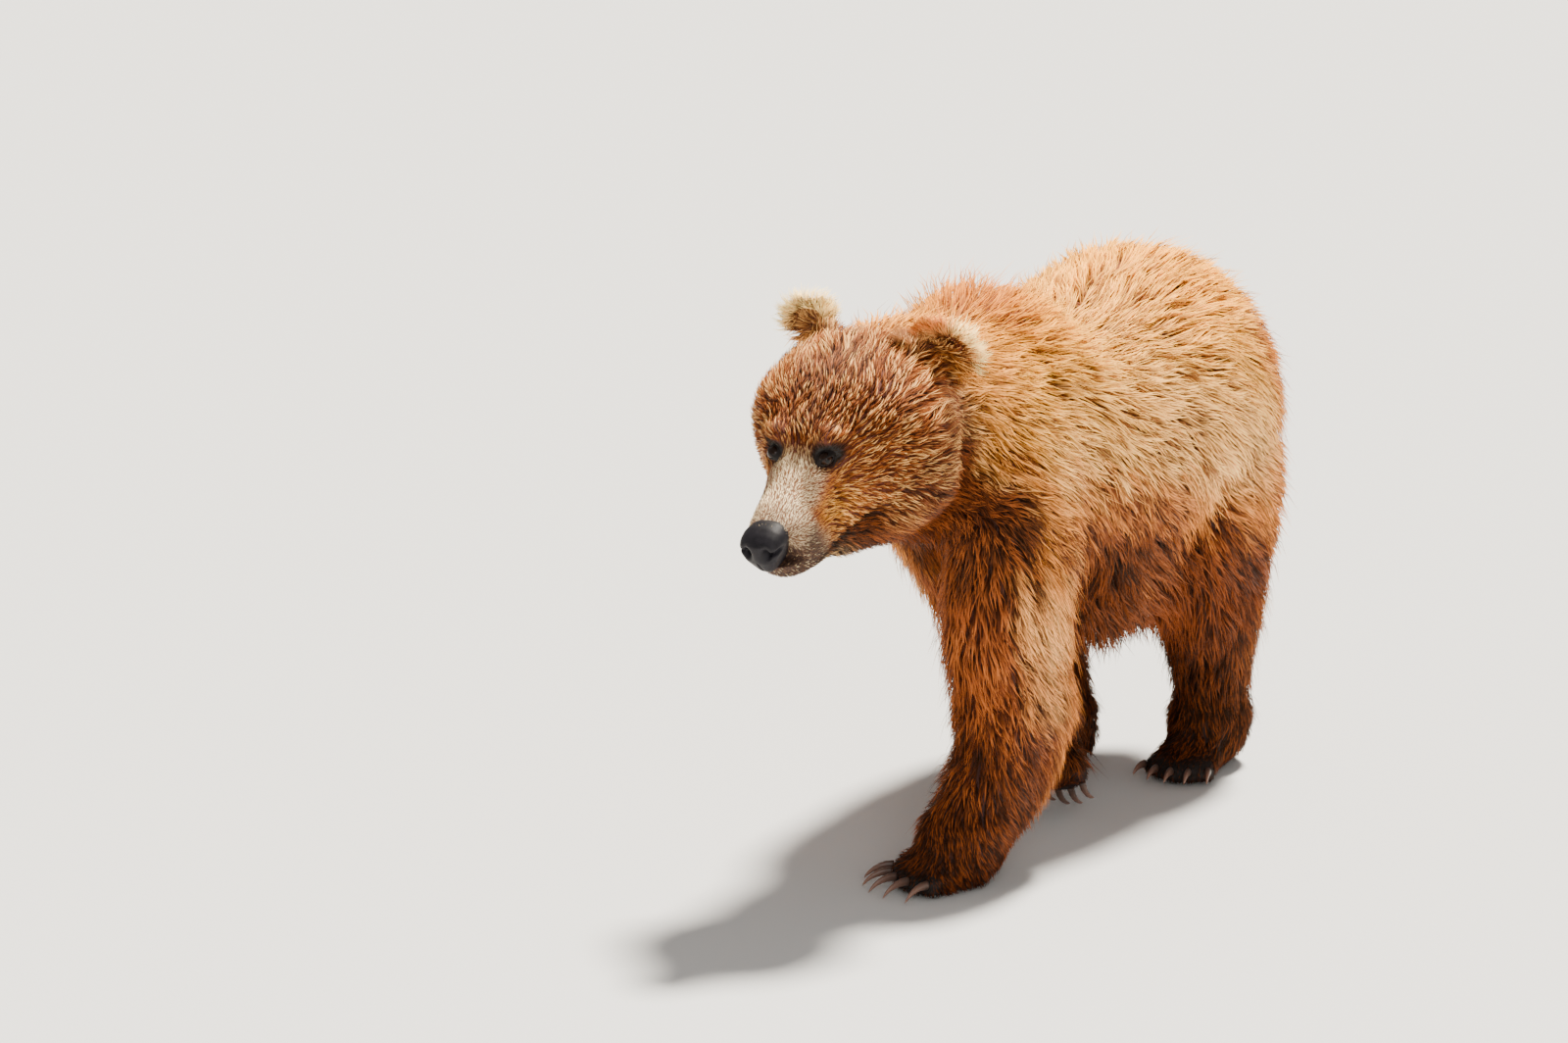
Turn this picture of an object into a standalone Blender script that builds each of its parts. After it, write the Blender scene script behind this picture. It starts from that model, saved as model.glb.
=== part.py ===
"""A life-size grizzly bear walking, as a set of solids that meet at thin cuts.

The body is modelled whole: lofted trunk, neck, head, ears, legs, paws and toes are joined by a voxel
Remesh and smoothed, thinned by Decimate, then parted by flat cuts into named pieces. The surface is the
outline of the coat, out to its tips. Eyes and claws are pieces of their own.

Frame: metres, +Z up, the bear faces -Y, its left side is +X, the floor is Z = 0.
Body places are written (forward, left, up) in shares of the shoulder height.
"""

import math

import bmesh
import bpy
import numpy as np
from mathutils import Matrix, Vector

# Driving dimensions, in metres.
SHOULDER_HEIGHT = 1.00  # floor to the tips of the coat on the hump
GAP = 0.0003  # left at every cut, and round eyes and claws
VOXEL = 0.009  # cell of the Remesh that joins the lofts
BODY_TRIANGLES = 4100  # what Decimate leaves of the whole body
FOOT_LEVEL = 0.004  # the soles are planed off this high, which leaves real flats to stand on

# The skull's place and pose. Head shapes are written (ahead, left, above) from the point between the ears.
SKULL_PLACE = (0.357, 0.030, 0.838)
SKULL_SIZE = 1.05
HEAD_PITCH, HEAD_YAW, HEAD_ROLL = math.radians(29), math.radians(0), math.radians(-1)

# Ribs of the lofts: place (forward, left, up), half width, reach above, reach below, all in shoulder heights.
TRUNK = [
    ((-0.890, 0.00, 0.670), 0.070, 0.080, 0.080),
    ((-0.855, 0.00, 0.665), 0.160, 0.160, 0.150),
    ((-0.780, 0.00, 0.655), 0.230, 0.255, 0.220),
    ((-0.660, 0.00, 0.650), 0.268, 0.327, 0.275),
    ((-0.520, 0.00, 0.640), 0.282, 0.314, 0.322),
    ((-0.360, 0.00, 0.630), 0.280, 0.270, 0.328),
    ((-0.210, 0.00, 0.640), 0.265, 0.256, 0.298),
    ((-0.070, 0.00, 0.660), 0.238, 0.322, 0.262),
    ((0.050, 0.01, 0.680), 0.190, 0.312, 0.200),
    ((0.140, 0.03, 0.700), 0.130, 0.240, 0.145),
    ((0.205, 0.04, 0.720), 0.085, 0.140, 0.090),
]
NECK = [
    ((0.020, 0.01, 0.740), 0.180, 0.200, 0.220),
    ((0.140, 0.02, 0.780), 0.168, 0.185, 0.222),
    ((0.250, 0.02, 0.825), 0.160, 0.165, 0.205),
    ((0.340, 0.02, 0.850), 0.150, 0.140, 0.170),
]
# Each leg runs from the body down to the wrist or hock; the last two numbers are the reach ahead and behind.
LEGS = {
    "front_leg_left": [
        ((0.020, 0.110, 0.800), 0.080, 0.130, 0.130),
        ((0.060, 0.140, 0.680), 0.105, 0.160, 0.160),
        ((0.110, 0.155, 0.560), 0.110, 0.155, 0.160),
        ((0.130, 0.160, 0.450), 0.108, 0.150, 0.155),
        ((0.125, 0.160, 0.340), 0.100, 0.120, 0.158),
        ((0.135, 0.155, 0.235), 0.088, 0.095, 0.134),
        ((0.170, 0.140, 0.150), 0.082, 0.085, 0.100),
        ((0.205, 0.125, 0.090), 0.080, 0.082, 0.094),
        ((0.222, 0.120, 0.045), 0.076, 0.080, 0.088),
    ],
    "front_leg_right": [
        ((-0.030, -0.110, 0.790), 0.080, 0.110, 0.120),
        ((-0.055, -0.125, 0.680), 0.096, 0.135, 0.150),
        ((-0.100, -0.115, 0.560), 0.092, 0.102, 0.135),
        ((-0.140, -0.086, 0.450), 0.086, 0.094, 0.118),
        ((-0.165, -0.045, 0.345), 0.078, 0.090, 0.100),
        ((-0.190, 0.005, 0.250), 0.071, 0.078, 0.082),
        ((-0.208, 0.040, 0.165), 0.066, 0.068, 0.070),
    ],
    "hind_leg_left": [
        ((-0.590, 0.110, 0.720), 0.090, 0.170, 0.180),
        ((-0.600, 0.155, 0.600), 0.115, 0.190, 0.210),
        ((-0.590, 0.168, 0.470), 0.112, 0.165, 0.195),
        ((-0.610, 0.162, 0.350), 0.100, 0.125, 0.150),
        ((-0.640, 0.150, 0.240), 0.086, 0.092, 0.108),
        ((-0.665, 0.140, 0.150), 0.076, 0.080, 0.090),
        ((-0.672, 0.135, 0.085), 0.075, 0.086, 0.090),
        ((-0.668, 0.135, 0.040), 0.068, 0.090, 0.080),
    ],
    "hind_leg_right": [
        ((-0.580, -0.110, 0.720), 0.090, 0.170, 0.180),
        ((-0.560, -0.155, 0.600), 0.115, 0.190, 0.210),
        ((-0.500, -0.165, 0.470), 0.110, 0.165, 0.195),
        ((-0.490, -0.155, 0.350), 0.096, 0.125, 0.140),
        ((-0.520, -0.135, 0.240), 0.082, 0.090, 0.100),
        ((-0.550, -0.125, 0.150), 0.073, 0.077, 0.084),
        ((-0.557, -0.120, 0.085), 0.073, 0.082, 0.084),
        ((-0.552, -0.120, 0.040), 0.066, 0.086, 0.078),
    ],
}
TAIL = [
    ((-0.820, 0.00, 0.720), 0.060, 0.050, 0.050),
    ((-0.875, 0.00, 0.690), 0.056, 0.046, 0.046),
    ((-0.900, 0.00, 0.630), 0.048, 0.040, 0.040),
    ((-0.902, 0.00, 0.575), 0.034, 0.030, 0.030),
    ((-0.895, 0.00, 0.545), 0.018, 0.016, 0.016),
]
# Head ribs run from the nape to the nose, in the skull's own frame.
SKULL = [
    ((-0.090, 0.0, -0.010), 0.110, 0.105, 0.110),
    ((-0.030, 0.0, -0.005), 0.152, 0.142, 0.150),
    ((0.030, 0.0, 0.000), 0.172, 0.156, 0.158),
    ((0.090, 0.0, 0.000), 0.170, 0.155, 0.160),
    ((0.135, 0.0, 0.000), 0.142, 0.138, 0.150),
    ((0.170, 0.0, 0.000), 0.106, 0.116, 0.138),
    ((0.205, 0.0, -0.002), 0.077, 0.088, 0.122),
    ((0.250, 0.0, -0.004), 0.065, 0.064, 0.100),
    ((0.300, 0.0, -0.006), 0.060, 0.054, 0.076),
    ((0.335, 0.0, -0.006), 0.051, 0.044, 0.058),
    ((0.352, 0.0, -0.006), 0.030, 0.028, 0.040),
]
NOSE_PAD = [
    ((0.322, 0.0, 0.018), 0.026, 0.022, 0.022),
    ((0.340, 0.0, 0.018), 0.036, 0.030, 0.032),
    ((0.360, 0.0, 0.016), 0.037, 0.029, 0.040),
    ((0.374, 0.0, 0.012), 0.031, 0.024, 0.037),
    ((0.380, 0.0, 0.010), 0.018, 0.015, 0.024),
]
# Lumps added to the head: centre and radii, for the left side; the right side mirrors them.
BROW = ((0.160, 0.044, 0.092), (0.044, 0.034, 0.020))
CHEEK = ((0.050, 0.098, -0.050), (0.090, 0.060, 0.085))
LIP = ((0.285, 0.026, -0.030), (0.062, 0.030, 0.034))
NOSTRIL = ((0.378, 0.017, 0.012), (0.016, 0.0075, 0.0085))
SOCKET = ((0.212, 0.054, 0.078), (0.015, 0.012, 0.010))
EYE_PLACE, EYE_RADIUS = (0.201, 0.0460, 0.070), 0.0120
EAR_PLACES, EAR_SIZE = {1: (-0.076, 0.124, 0.078), -1: (-0.070, 0.112, 0.106)}, (0.028, 0.060, 0.060)
EAR_CUT = 0.006  # the ear is cut from the head this far above its middle
EAR_LEAN = {1: math.radians(42), -1: math.radians(26)}  # how far each ear tips outwards

# Paws: place of the sole's middle, heading from straight ahead (to the left positive), length, width.
FLAT_PAWS = {
    "front_paw_left": ((0.258, 0.116), math.radians(-34), 0.165, 0.140),
    "hind_paw_left": ((-0.625, 0.137), math.radians(6), 0.250, 0.130),
    "hind_paw_right": ((-0.500, -0.115), math.radians(-6), 0.250, 0.132),
}
CLAW_LENGTH = {"front": 0.058, "hind": 0.038}
CLAW_THIN = 0.62  # width of a claw as a share of its height
CLAW_RISE = 0.12  # share of its bend by which a claw leaves the toe upwards
TOES = 5
TOE_RADII = (0.032, 0.0165, 0.026)  # half length, half width and half height of a toe
TOE_FAN = 0.30  # angle of the outermost toes

RING = 28  # points round a loft
STEPS = 7  # rings between two ribs
SMOOTHING = 4

COAT, COAT_HEAD, COAT_LEGS = "coat_gold", "coat_tawny", "coat_umber"
LEATHER, HORN, CORNEA = "nose_leather", "claw_horn", "eye_gloss"
LOOKS = {  # colour and roughness
    COAT: ((0.68, 0.44, 0.21), 0.85),
    COAT_HEAD: ((0.46, 0.25, 0.10), 0.85),
    COAT_LEGS: ((0.22, 0.10, 0.04), 0.88),
    LEATHER: ((0.020, 0.020, 0.024), 0.45),
    HORN: ((0.26, 0.17, 0.12), 0.40),
    CORNEA: ((0.012, 0.007, 0.004), 0.08),
}
FINE_WEIGHT = 0.88  # how readily Decimate thins the head and the paws, where 1 is plain body
LIFTED_WRIST = (-0.212, 0.046, 0.146)

# Levels of the cuts through the legs, with the (forward, left) of the piece each name takes.
PAW_LEVEL, KNEE_LEVEL = 0.128, 0.292
PAW_PLACES = {
    "front_paw_left": (0.26, 0.12),
    "front_paw_right": (-0.24, 0.05),
    "hind_paw_left": (-0.62, 0.135),
    "hind_paw_right": (-0.51, -0.12),
}
SHIN_PLACES = {
    "front_leg_left_lower": (0.14, 0.15),
    "front_leg_right_lower": (-0.19, 0.02),
    "hind_leg_left_lower": (-0.64, 0.15),
    "hind_leg_right_lower": (-0.52, -0.13),
}
UPPER_LEGS = {
    "front_leg_left_upper": (
        ((0.0, 0.020, 0.29), (0.0, -1.0, 0.30)),
        ((0.0, 0.0, 0.560), (0.0, 0.0, 1.0)),
        ((-0.090, 0.0, 0.0), (-1.0, 0.0, 0.0)),
    ),
    "front_leg_right_upper": (
        ((0.0, 0.060, 0.29), (0.0, 1.0, 0.62)),
        ((0.0, 0.0, 0.560), (0.0, 0.0, 1.0)),
        ((-0.252, 0.0, 0.29), (-1.0, 0.0, -0.15)),
        ((0.090, 0.0, 0.0), (1.0, 0.0, 0.0)),
    ),
    "hind_leg_left_upper": (
        ((0.0, 0.030, 0.29), (0.0, -1.0, 0.27)),
        ((0.0, 0.0, 0.600), (0.0, 0.0, 1.0)),
        ((-0.430, 0.0, 0.0), (1.0, 0.0, 0.0)),
    ),
    "hind_leg_right_upper": (
        ((0.0, -0.030, 0.29), (0.0, 1.0, 0.27)),
        ((0.0, 0.0, 0.600), (0.0, 0.0, 1.0)),
        ((-0.350, 0.0, 0.0), (1.0, 0.0, 0.0)),
    ),
}
TAIL_BOX = (
    ((-0.868, 0.0, 0.70), (1.0, 0.0, 0.0)),
    ((0.0, 0.064, 0.0), (0.0, 1.0, 0.0)),
    ((0.0, -0.064, 0.0), (0.0, -1.0, 0.0)),
    ((0.0, 0.0, 0.735), (0.0, 0.0, 1.0)),
)


def clear_scene():
    for thing in list(bpy.data.objects):
        bpy.data.objects.remove(thing)


def at(place):
    """A body place (forward, left, up) in shoulder heights, as a point in metres."""
    forward, left, up = place
    return Vector((left, -forward, up)) * SHOULDER_HEIGHT


def skull_matrix():
    """Carries (ahead, left, above) of the skull into the world, in metres."""
    facing = Matrix(((0, 1, 0), (-1, 0, 0), (0, 0, 1)))
    turned = (
        Matrix.Rotation(HEAD_YAW, 3, "Z")
        @ Matrix.Rotation(HEAD_PITCH, 3, "X")
        @ Matrix.Rotation(HEAD_ROLL, 3, "Y")
    )
    size = SKULL_SIZE * SHOULDER_HEIGHT
    return Matrix.Translation(at(SKULL_PLACE)) @ (turned @ facing * size).to_4x4()


def spline(rows, count):
    """Catmull-Rom through the rows of an array, with count points from each row to the next."""
    rows = np.asarray(rows, float)
    padded = np.vstack([2 * rows[0] - rows[1], rows, 2 * rows[-1] - rows[-2]])
    t = np.linspace(0, 1, count, endpoint=False)[:, None]
    pieces = []
    for a, b, c, d in zip(padded, padded[1:], padded[2:], padded[3:], strict=False):
        bend = 2 * a - 5 * b + 4 * c - d
        twist = 3 * b - a - 3 * c + d
        pieces.append(0.5 * (2 * b + (c - a) * t + bend * t**2 + twist * t**3))
    return np.vstack([*pieces, rows[-1:]])


def loft(ribs, place, scale, corner=2.25, keel=0.0):
    """A closed tube through ribs.

    A rib is a superellipse square to the path, its width along the side axis. keel narrows the lower
    half, by that share at the very bottom, as a deep chest does.
    """
    rows = [[*place(rib[0]), *(scale * size for size in rib[1:])] for rib in ribs]
    rows = spline(rows, STEPS)
    centres, sizes = rows[:, :3], np.maximum(rows[:, 3:], 0.002)
    along = np.gradient(centres, axis=0)
    along /= np.linalg.norm(along, axis=1, keepdims=True)
    side = np.array((1.0, 0.0, 0.0)) - along * along[:, :1]
    side /= np.linalg.norm(side, axis=1, keepdims=True)
    above = np.cross(along, side)
    turn = np.linspace(0, 2 * math.pi, RING, endpoint=False)
    across = np.sign(np.cos(turn)) * np.abs(np.cos(turn)) ** (2 / corner)
    height = np.sign(np.sin(turn)) * np.abs(np.sin(turn)) ** (2 / corner)
    across = across * (1 - keel * np.clip(-height, 0, 1))
    reach = np.where(height >= 0, sizes[:, 1:2], sizes[:, 2:3])
    rings = (
        centres[:, None]
        + side[:, None] * (sizes[:, :1] * across)[..., None]
        + above[:, None] * (reach * height)[..., None]
    )
    return tube_mesh(rings)


def tube_mesh(rings):
    """Mesh data (points, faces) of a tube whose ends are closed by one face each."""
    count, around, _ = rings.shape
    index = np.arange(count * around).reshape(count, around)
    ahead = np.roll(index, -1, axis=1)
    quads = np.stack([index[:-1], ahead[:-1], ahead[1:], index[1:]], axis=-1).reshape(-1, 4)
    faces = [tuple(quad) for quad in quads.tolist()]
    faces += [tuple(index[0][::-1].tolist()), tuple(index[-1].tolist())]
    return rings.reshape(-1, 3), faces


def ball(centre, radii, turned=None, rings=8, around=12):
    """Mesh data of an ellipsoid, turned by a 3x3 matrix."""
    polar = np.linspace(0.12, math.pi - 0.12, rings)
    turn = np.linspace(0, 2 * math.pi, around, endpoint=False)
    unit = np.stack(
        [
            np.sin(polar)[:, None] * np.cos(turn),
            np.sin(polar)[:, None] * np.sin(turn),
            np.repeat(-np.cos(polar)[:, None], around, 1),
        ],
        axis=-1,
    )
    shape = unit * np.asarray(radii, float)
    if turned is not None:
        shape = shape @ np.asarray(turned, float).T
    return tube_mesh(shape + np.asarray(centre, float))


def make_object(name, parts, helper=False):
    """One object from several (points, faces) pairs."""
    points, faces = [], []
    for some_points, some_faces in parts:
        start = len(points)
        points += np.asarray(some_points).tolist()
        faces += [tuple(corner + start for corner in face) for face in some_faces]
    mesh = bpy.data.meshes.new(name)
    mesh.from_pydata(points, [], faces)
    body = bmesh.new()
    body.from_mesh(mesh)
    bmesh.ops.recalc_face_normals(body, faces=body.faces[:])
    body.to_mesh(mesh)
    body.free()
    made = bpy.data.objects.new(name, mesh)
    bpy.context.scene.collection.objects.link(made)
    if helper:
        made.hide_render = True
        made.display_type = "WIRE"
    return made


def settle(thing):
    """Replaces the object's mesh by what its modifiers make of it."""
    bpy.context.view_layer.update()
    graph = bpy.context.evaluated_depsgraph_get()
    mesh = bpy.data.meshes.new_from_object(thing.evaluated_get(graph))
    thing.modifiers.clear()
    thing.data = mesh
    return thing


def boolean(thing, other, operation):
    cut = thing.modifiers.new(operation.lower(), "BOOLEAN")
    cut.object, cut.operation, cut.solver = other, operation, "EXACT"
    return settle(thing)


def paw_frame(place, heading):
    """Turns (ahead, left, above) of a paw, in metres, into the world."""
    base = at((*place, 0.0))
    ahead = Vector((math.sin(heading), -math.cos(heading), 0))
    left = Vector((math.cos(heading), math.sin(heading), 0))

    def placed(point):
        return base + ahead * point[0] + left * point[1] + Vector((0, 0, point[2]))

    return placed


def paw_shape(length, width, placed):
    """The furry foot and its five toes, standing flat. Returns lofts and where each claw leaves its toe."""
    heel, ball_of_foot = -0.5 * length, 0.5 * length - 0.035
    ribs = [
        ((heel - 0.004, 0, 0.034), 0.22 * width, 0.020, 0.034),
        ((heel + 0.020, 0, 0.042), 0.40 * width, 0.046, 0.044),
        ((0.0, 0, 0.044), 0.47 * width, 0.052, 0.046),
        ((0.5 * ball_of_foot, 0, 0.040), 0.50 * width, 0.042, 0.042),
        ((ball_of_foot, 0, 0.034), 0.48 * width, 0.028, 0.036),
        ((ball_of_foot + 0.018, 0, 0.028), 0.42 * width, 0.016, 0.024),
    ]
    parts = [loft(ribs, placed, 1.0)]
    roots = []
    for toe in range(TOES):
        share = 2 * toe / (TOES - 1) - 1
        fan = TOE_FAN * share
        start = Vector((ball_of_foot + 0.022 - 0.026 * share**2, 0.43 * width * share, TOE_RADII[2]))
        middle = placed(start)
        ahead = (placed(start + Vector((math.cos(fan), math.sin(fan), 0))) - middle).normalized()
        side = ahead.cross(Vector((0, 0, 1)))
        turned = np.stack([ahead, side, (0, 0, 1)], axis=1)
        parts.append(ball(middle, TOE_RADII, turned))
        roots.append((middle + ahead * 0.020 + Vector((0, 0, 0.008)), ahead, Vector((0, 0, 1))))
    return parts, roots


def claw(name, root, ahead, above, length):
    """A curved claw: rings that shrink along an arc, leaving the toe level and ending near the floor."""
    bend, rings, around, thick = math.radians(62), 5, 5, 0.0072
    radius = length / bend
    turn = np.linspace(0, 2 * math.pi, around, endpoint=False)
    side = ahead.cross(above)
    loops = []
    for step in range(rings):
        share = step / (rings - 1)
        angle = bend * (share - CLAW_RISE)
        middle = root + ahead * (radius * (math.sin(angle) + math.sin(bend * CLAW_RISE)))
        middle += above * (radius * (math.cos(angle) - math.cos(bend * CLAW_RISE)))
        outward = ahead * math.sin(angle) + above * math.cos(angle)
        half = thick * (1 - 0.86 * share**1.4)
        ring = [side * (CLAW_THIN * half * math.cos(a)) + outward * (half * math.sin(a)) for a in turn]
        loops.append([middle + offset for offset in ring])
    return make_object(name, [tube_mesh(np.array(loops))])


def region(name, planes, grow=0.0):
    """A convex cutter: a large cube trimmed by planes, each a point and the direction that is cut away."""
    cutter = bmesh.new()
    bmesh.ops.create_cube(cutter, size=4.0)
    for point, away in planes:
        away = Vector(away).normalized()
        cut = bmesh.ops.bisect_plane(
            cutter,
            geom=cutter.verts[:] + cutter.edges[:] + cutter.faces[:],
            plane_co=Vector(point) + away * grow,
            plane_no=away,
            clear_outer=True,
        )
        edges = [part for part in cut["geom_cut"] if isinstance(part, bmesh.types.BMEdge)]
        bmesh.ops.edgeloop_fill(cutter, edges=edges)
    bmesh.ops.recalc_face_normals(cutter, faces=cutter.faces[:])
    mesh = bpy.data.meshes.new(name)
    cutter.to_mesh(mesh)
    cutter.free()
    made = bpy.data.objects.new(name, mesh)
    bpy.context.scene.collection.objects.link(made)
    made.hide_render = True
    made.display_type = "WIRE"
    return made


def ear_lofts(to_world):
    """Each ear is a thick rounded disc with a hollow pressed into its front."""
    parts, hollows = [], []
    for side in (1, -1):
        lean = Matrix.Rotation(side * EAR_LEAN[side], 3, "X")
        turned = to_world.to_3x3().normalized() @ Matrix.Rotation(side * 0.35, 3, "Z") @ lean
        ahead, left, above = EAR_PLACES[side]
        centre = to_world @ Vector((ahead, side * left, above))
        parts.append(ball(centre, EAR_SIZE, turned))
        front = turned @ Vector((0.026, 0.0, 0.008))
        hollows.append(ball(centre + front, (0.020, 0.036, 0.040), turned))
    return parts, hollows


def mirrored(lump, side):
    """A lump's centre and radii on the left (side 1) or the right (side -1)."""
    (ahead, left, above), radii = lump
    return Vector((ahead, side * left, above)), radii


def head_lump(lump, side, to_world):
    """An ellipsoid given in the skull's frame, as mesh data in the world."""
    centre, radii = mirrored(lump, side)
    head_size = SKULL_SIZE * SHOULDER_HEIGHT
    return ball(to_world @ centre, np.array(radii) * head_size, to_world.to_3x3().normalized())


def whole_body():
    """Every furry form in one mesh, joined by voxels, smoothed and thinned, with its soles planed flat."""
    to_world = skull_matrix()
    size = SHOULDER_HEIGHT
    head_size = SKULL_SIZE * size
    parts = [loft(TRUNK, at, size, keel=0.3), loft(NECK, at, size, keel=0.5), loft(TAIL, at, size)]
    parts += [loft(ribs, at, size) for ribs in LEGS.values()]
    parts.append(loft(SKULL, lambda place: to_world @ Vector(place), head_size))
    parts.append(loft(NOSE_PAD, lambda place: to_world @ Vector(place), head_size, 2.6))
    parts += [head_lump(lump, side, to_world) for lump in (BROW, CHEEK, LIP) for side in (1, -1)]
    ears, hollows = ear_lofts(to_world)
    parts += ears
    roots = {}
    for name, (place, heading, length, width) in FLAT_PAWS.items():
        shapes, roots[name] = paw_shape(length, width, paw_frame(place, heading))
        parts += shapes
    lifted, roots["front_paw_right"] = lifted_paw()
    parts += lifted
    body = make_object("body", parts)
    joined = body.modifiers.new("join", "REMESH")
    joined.mode, joined.voxel_size = "VOXEL", VOXEL
    soft = body.modifiers.new("soften", "SMOOTH")
    soft.factor, soft.iterations = 0.5, SMOOTHING
    settle(body)
    mark_plain(body, to_world)
    thin = body.modifiers.new("thin", "DECIMATE")
    thin.ratio = BODY_TRIANGLES / (2 * len(body.data.polygons))
    thin.vertex_group = "plain"
    thin.use_collapse_triangulate = True
    settle(body)
    body.vertex_groups.clear()
    for hollow in hollows:
        boolean(body, make_object("ear_hollow", [hollow], helper=True), "DIFFERENCE")
    floor = region("sole_plane", [((0, 0, FOOT_LEVEL), (0, 0, 1))])
    boolean(body, floor, "DIFFERENCE")
    return body, roots


def mark_plain(body, to_world):
    """Weights that let Decimate thin the trunk and legs more than the head and paws."""
    group = body.vertex_groups.new(name="plain")
    count = len(body.data.vertices)
    points = np.empty(3 * count)
    body.data.vertices.foreach_get("co", points)
    points = points.reshape(-1, 3)
    head = np.linalg.norm(points - np.array(to_world @ Vector((0.16, 0.0, 0.0))), axis=1) < 0.27
    fine = head | (points[:, 2] < 0.12)
    group.add(np.flatnonzero(fine).tolist(), FINE_WEIGHT, "REPLACE")
    group.add(np.flatnonzero(~fine).tolist(), 1.0, "REPLACE")


def lifted_paw():
    """The right front paw just leaving the floor: the wrist is bent back and the toes hang down."""
    wrist = at(LIFTED_WRIST)
    down = Vector((0.06, 0.40, -0.90)).normalized()
    side = Vector((1, 0, 0.0)).normalized()
    side = (side - down * side.dot(down)).normalized()
    front = down.cross(side).normalized()

    def placed(point):
        return wrist + down * point[0] + side * point[1] + front * point[2]

    ribs = [
        ((-0.010, 0, 0), 0.062, 0.060, 0.060),
        ((0.030, 0, 0), 0.066, 0.046, 0.050),
        ((0.070, 0, 0), 0.066, 0.034, 0.038),
        ((0.092, 0, 0), 0.056, 0.020, 0.024),
    ]
    parts = [loft(ribs, placed, 1.0)]
    roots = []
    for toe in range(TOES):
        share = 2 * toe / (TOES - 1) - 1
        middle = placed((0.092 - 0.020 * share**2, 0.055 * share, -0.002))
        turned = np.stack([down, side, front], axis=1)
        parts.append(ball(middle, TOE_RADII, turned))
        roots.append((middle + down * 0.016 + front * 0.006, down, front))
    return parts, roots


def islands(thing):
    """The loose pieces of a mesh, largest first, each as the set of its vertex numbers."""
    edges = np.empty(2 * len(thing.data.edges), int)
    thing.data.edges.foreach_get("vertices", edges)
    label = np.arange(len(thing.data.vertices))
    edges = edges.reshape(-1, 2)
    while True:
        lowest = np.minimum(label[edges[:, 0]], label[edges[:, 1]])
        before = label.copy()
        np.minimum.at(label, edges[:, 0], lowest)
        np.minimum.at(label, edges[:, 1], lowest)
        label = label[label]
        if np.array_equal(before, label):
            break
    names, counts = np.unique(label, return_counts=True)
    return [np.flatnonzero(label == names[k]) for k in np.argsort(-counts)]


def keep_only(thing, numbers):
    """Deletes every vertex but those numbered."""
    body = bmesh.new()
    body.from_mesh(thing.data)
    body.verts.ensure_lookup_table()
    wanted = set(np.asarray(numbers).tolist())
    bmesh.ops.delete(body, geom=[v for v in body.verts if v.index not in wanted], context="VERTS")
    body.to_mesh(thing.data)
    body.free()


def copy_of(thing, name):
    made = bpy.data.objects.new(name, thing.data.copy())
    bpy.context.scene.collection.objects.link(made)
    return made


def part_off(rest, name, planes):
    """Parts one named piece from the rest along a region's planes, leaving GAP between the two."""
    inner, outer = region(f"{name}_cut", planes), region(f"{name}_gap", planes, GAP)
    piece = boolean(copy_of(rest, name), inner, "INTERSECT")
    boolean(rest, outer, "DIFFERENCE")
    keep_only(piece, islands(piece)[0])
    keep_only(rest, islands(rest)[0])
    return piece


def part_level(rest, height, names):
    """Parts off everything below a level; each loose piece takes the name whose place is nearest."""
    below = region("level_cut", [((0, 0, height), (0, 0, 1))])
    above = region("level_gap", [((0, 0, height), (0, 0, 1))], GAP)
    slab = boolean(copy_of(rest, "slab"), below, "INTERSECT")
    boolean(rest, above, "DIFFERENCE")
    keep_only(rest, islands(rest)[0])
    points = np.array([vertex.co[:] for vertex in slab.data.vertices])
    pieces = {}
    for numbers in islands(slab)[: len(names)]:
        middle = points[numbers].mean(axis=0)[:2]
        name = min(names, key=lambda n: float(np.hypot(*(middle - np.array(at((*names[n], 0.0)))[:2]))))
        piece = copy_of(slab, name)
        keep_only(piece, numbers)
        pieces[name] = piece
    bpy.data.objects.remove(slab)
    return pieces


def inset(thing, others):
    """Cuts each other body, grown by GAP, out of a piece."""
    for other in others:
        grown = copy_of(other, f"{other.name}_room")
        grown.hide_render, grown.display_type = True, "WIRE"
        swell = grown.modifiers.new("swell", "DISPLACE")
        swell.strength, swell.mid_level = GAP, 0.0
        settle(grown)
        boolean(thing, grown, "DIFFERENCE")
    keep_only(thing, islands(thing)[0])


def material(name, colour, roughness):
    made = bpy.data.materials.new(name)
    made.use_nodes = True
    surface = made.node_tree.nodes["Principled BSDF"]
    surface.inputs["Base Color"].default_value = (*colour, 1.0)
    surface.inputs["Roughness"].default_value = roughness
    surface.inputs["Metallic"].default_value = 0.0
    return made


def body_planes(*rows):
    """Planes written as (place, direction cut away), both (forward, left, up)."""
    return [(at(place), Vector((left, -ahead, up))) for place, (ahead, left, up) in rows]


def head_planes(to_world, *rows):
    """Planes written in the skull's frame."""
    turn = to_world.to_3x3().normalized()
    return [(to_world @ Vector(place), turn @ Vector(away)) for place, away in rows]


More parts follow.
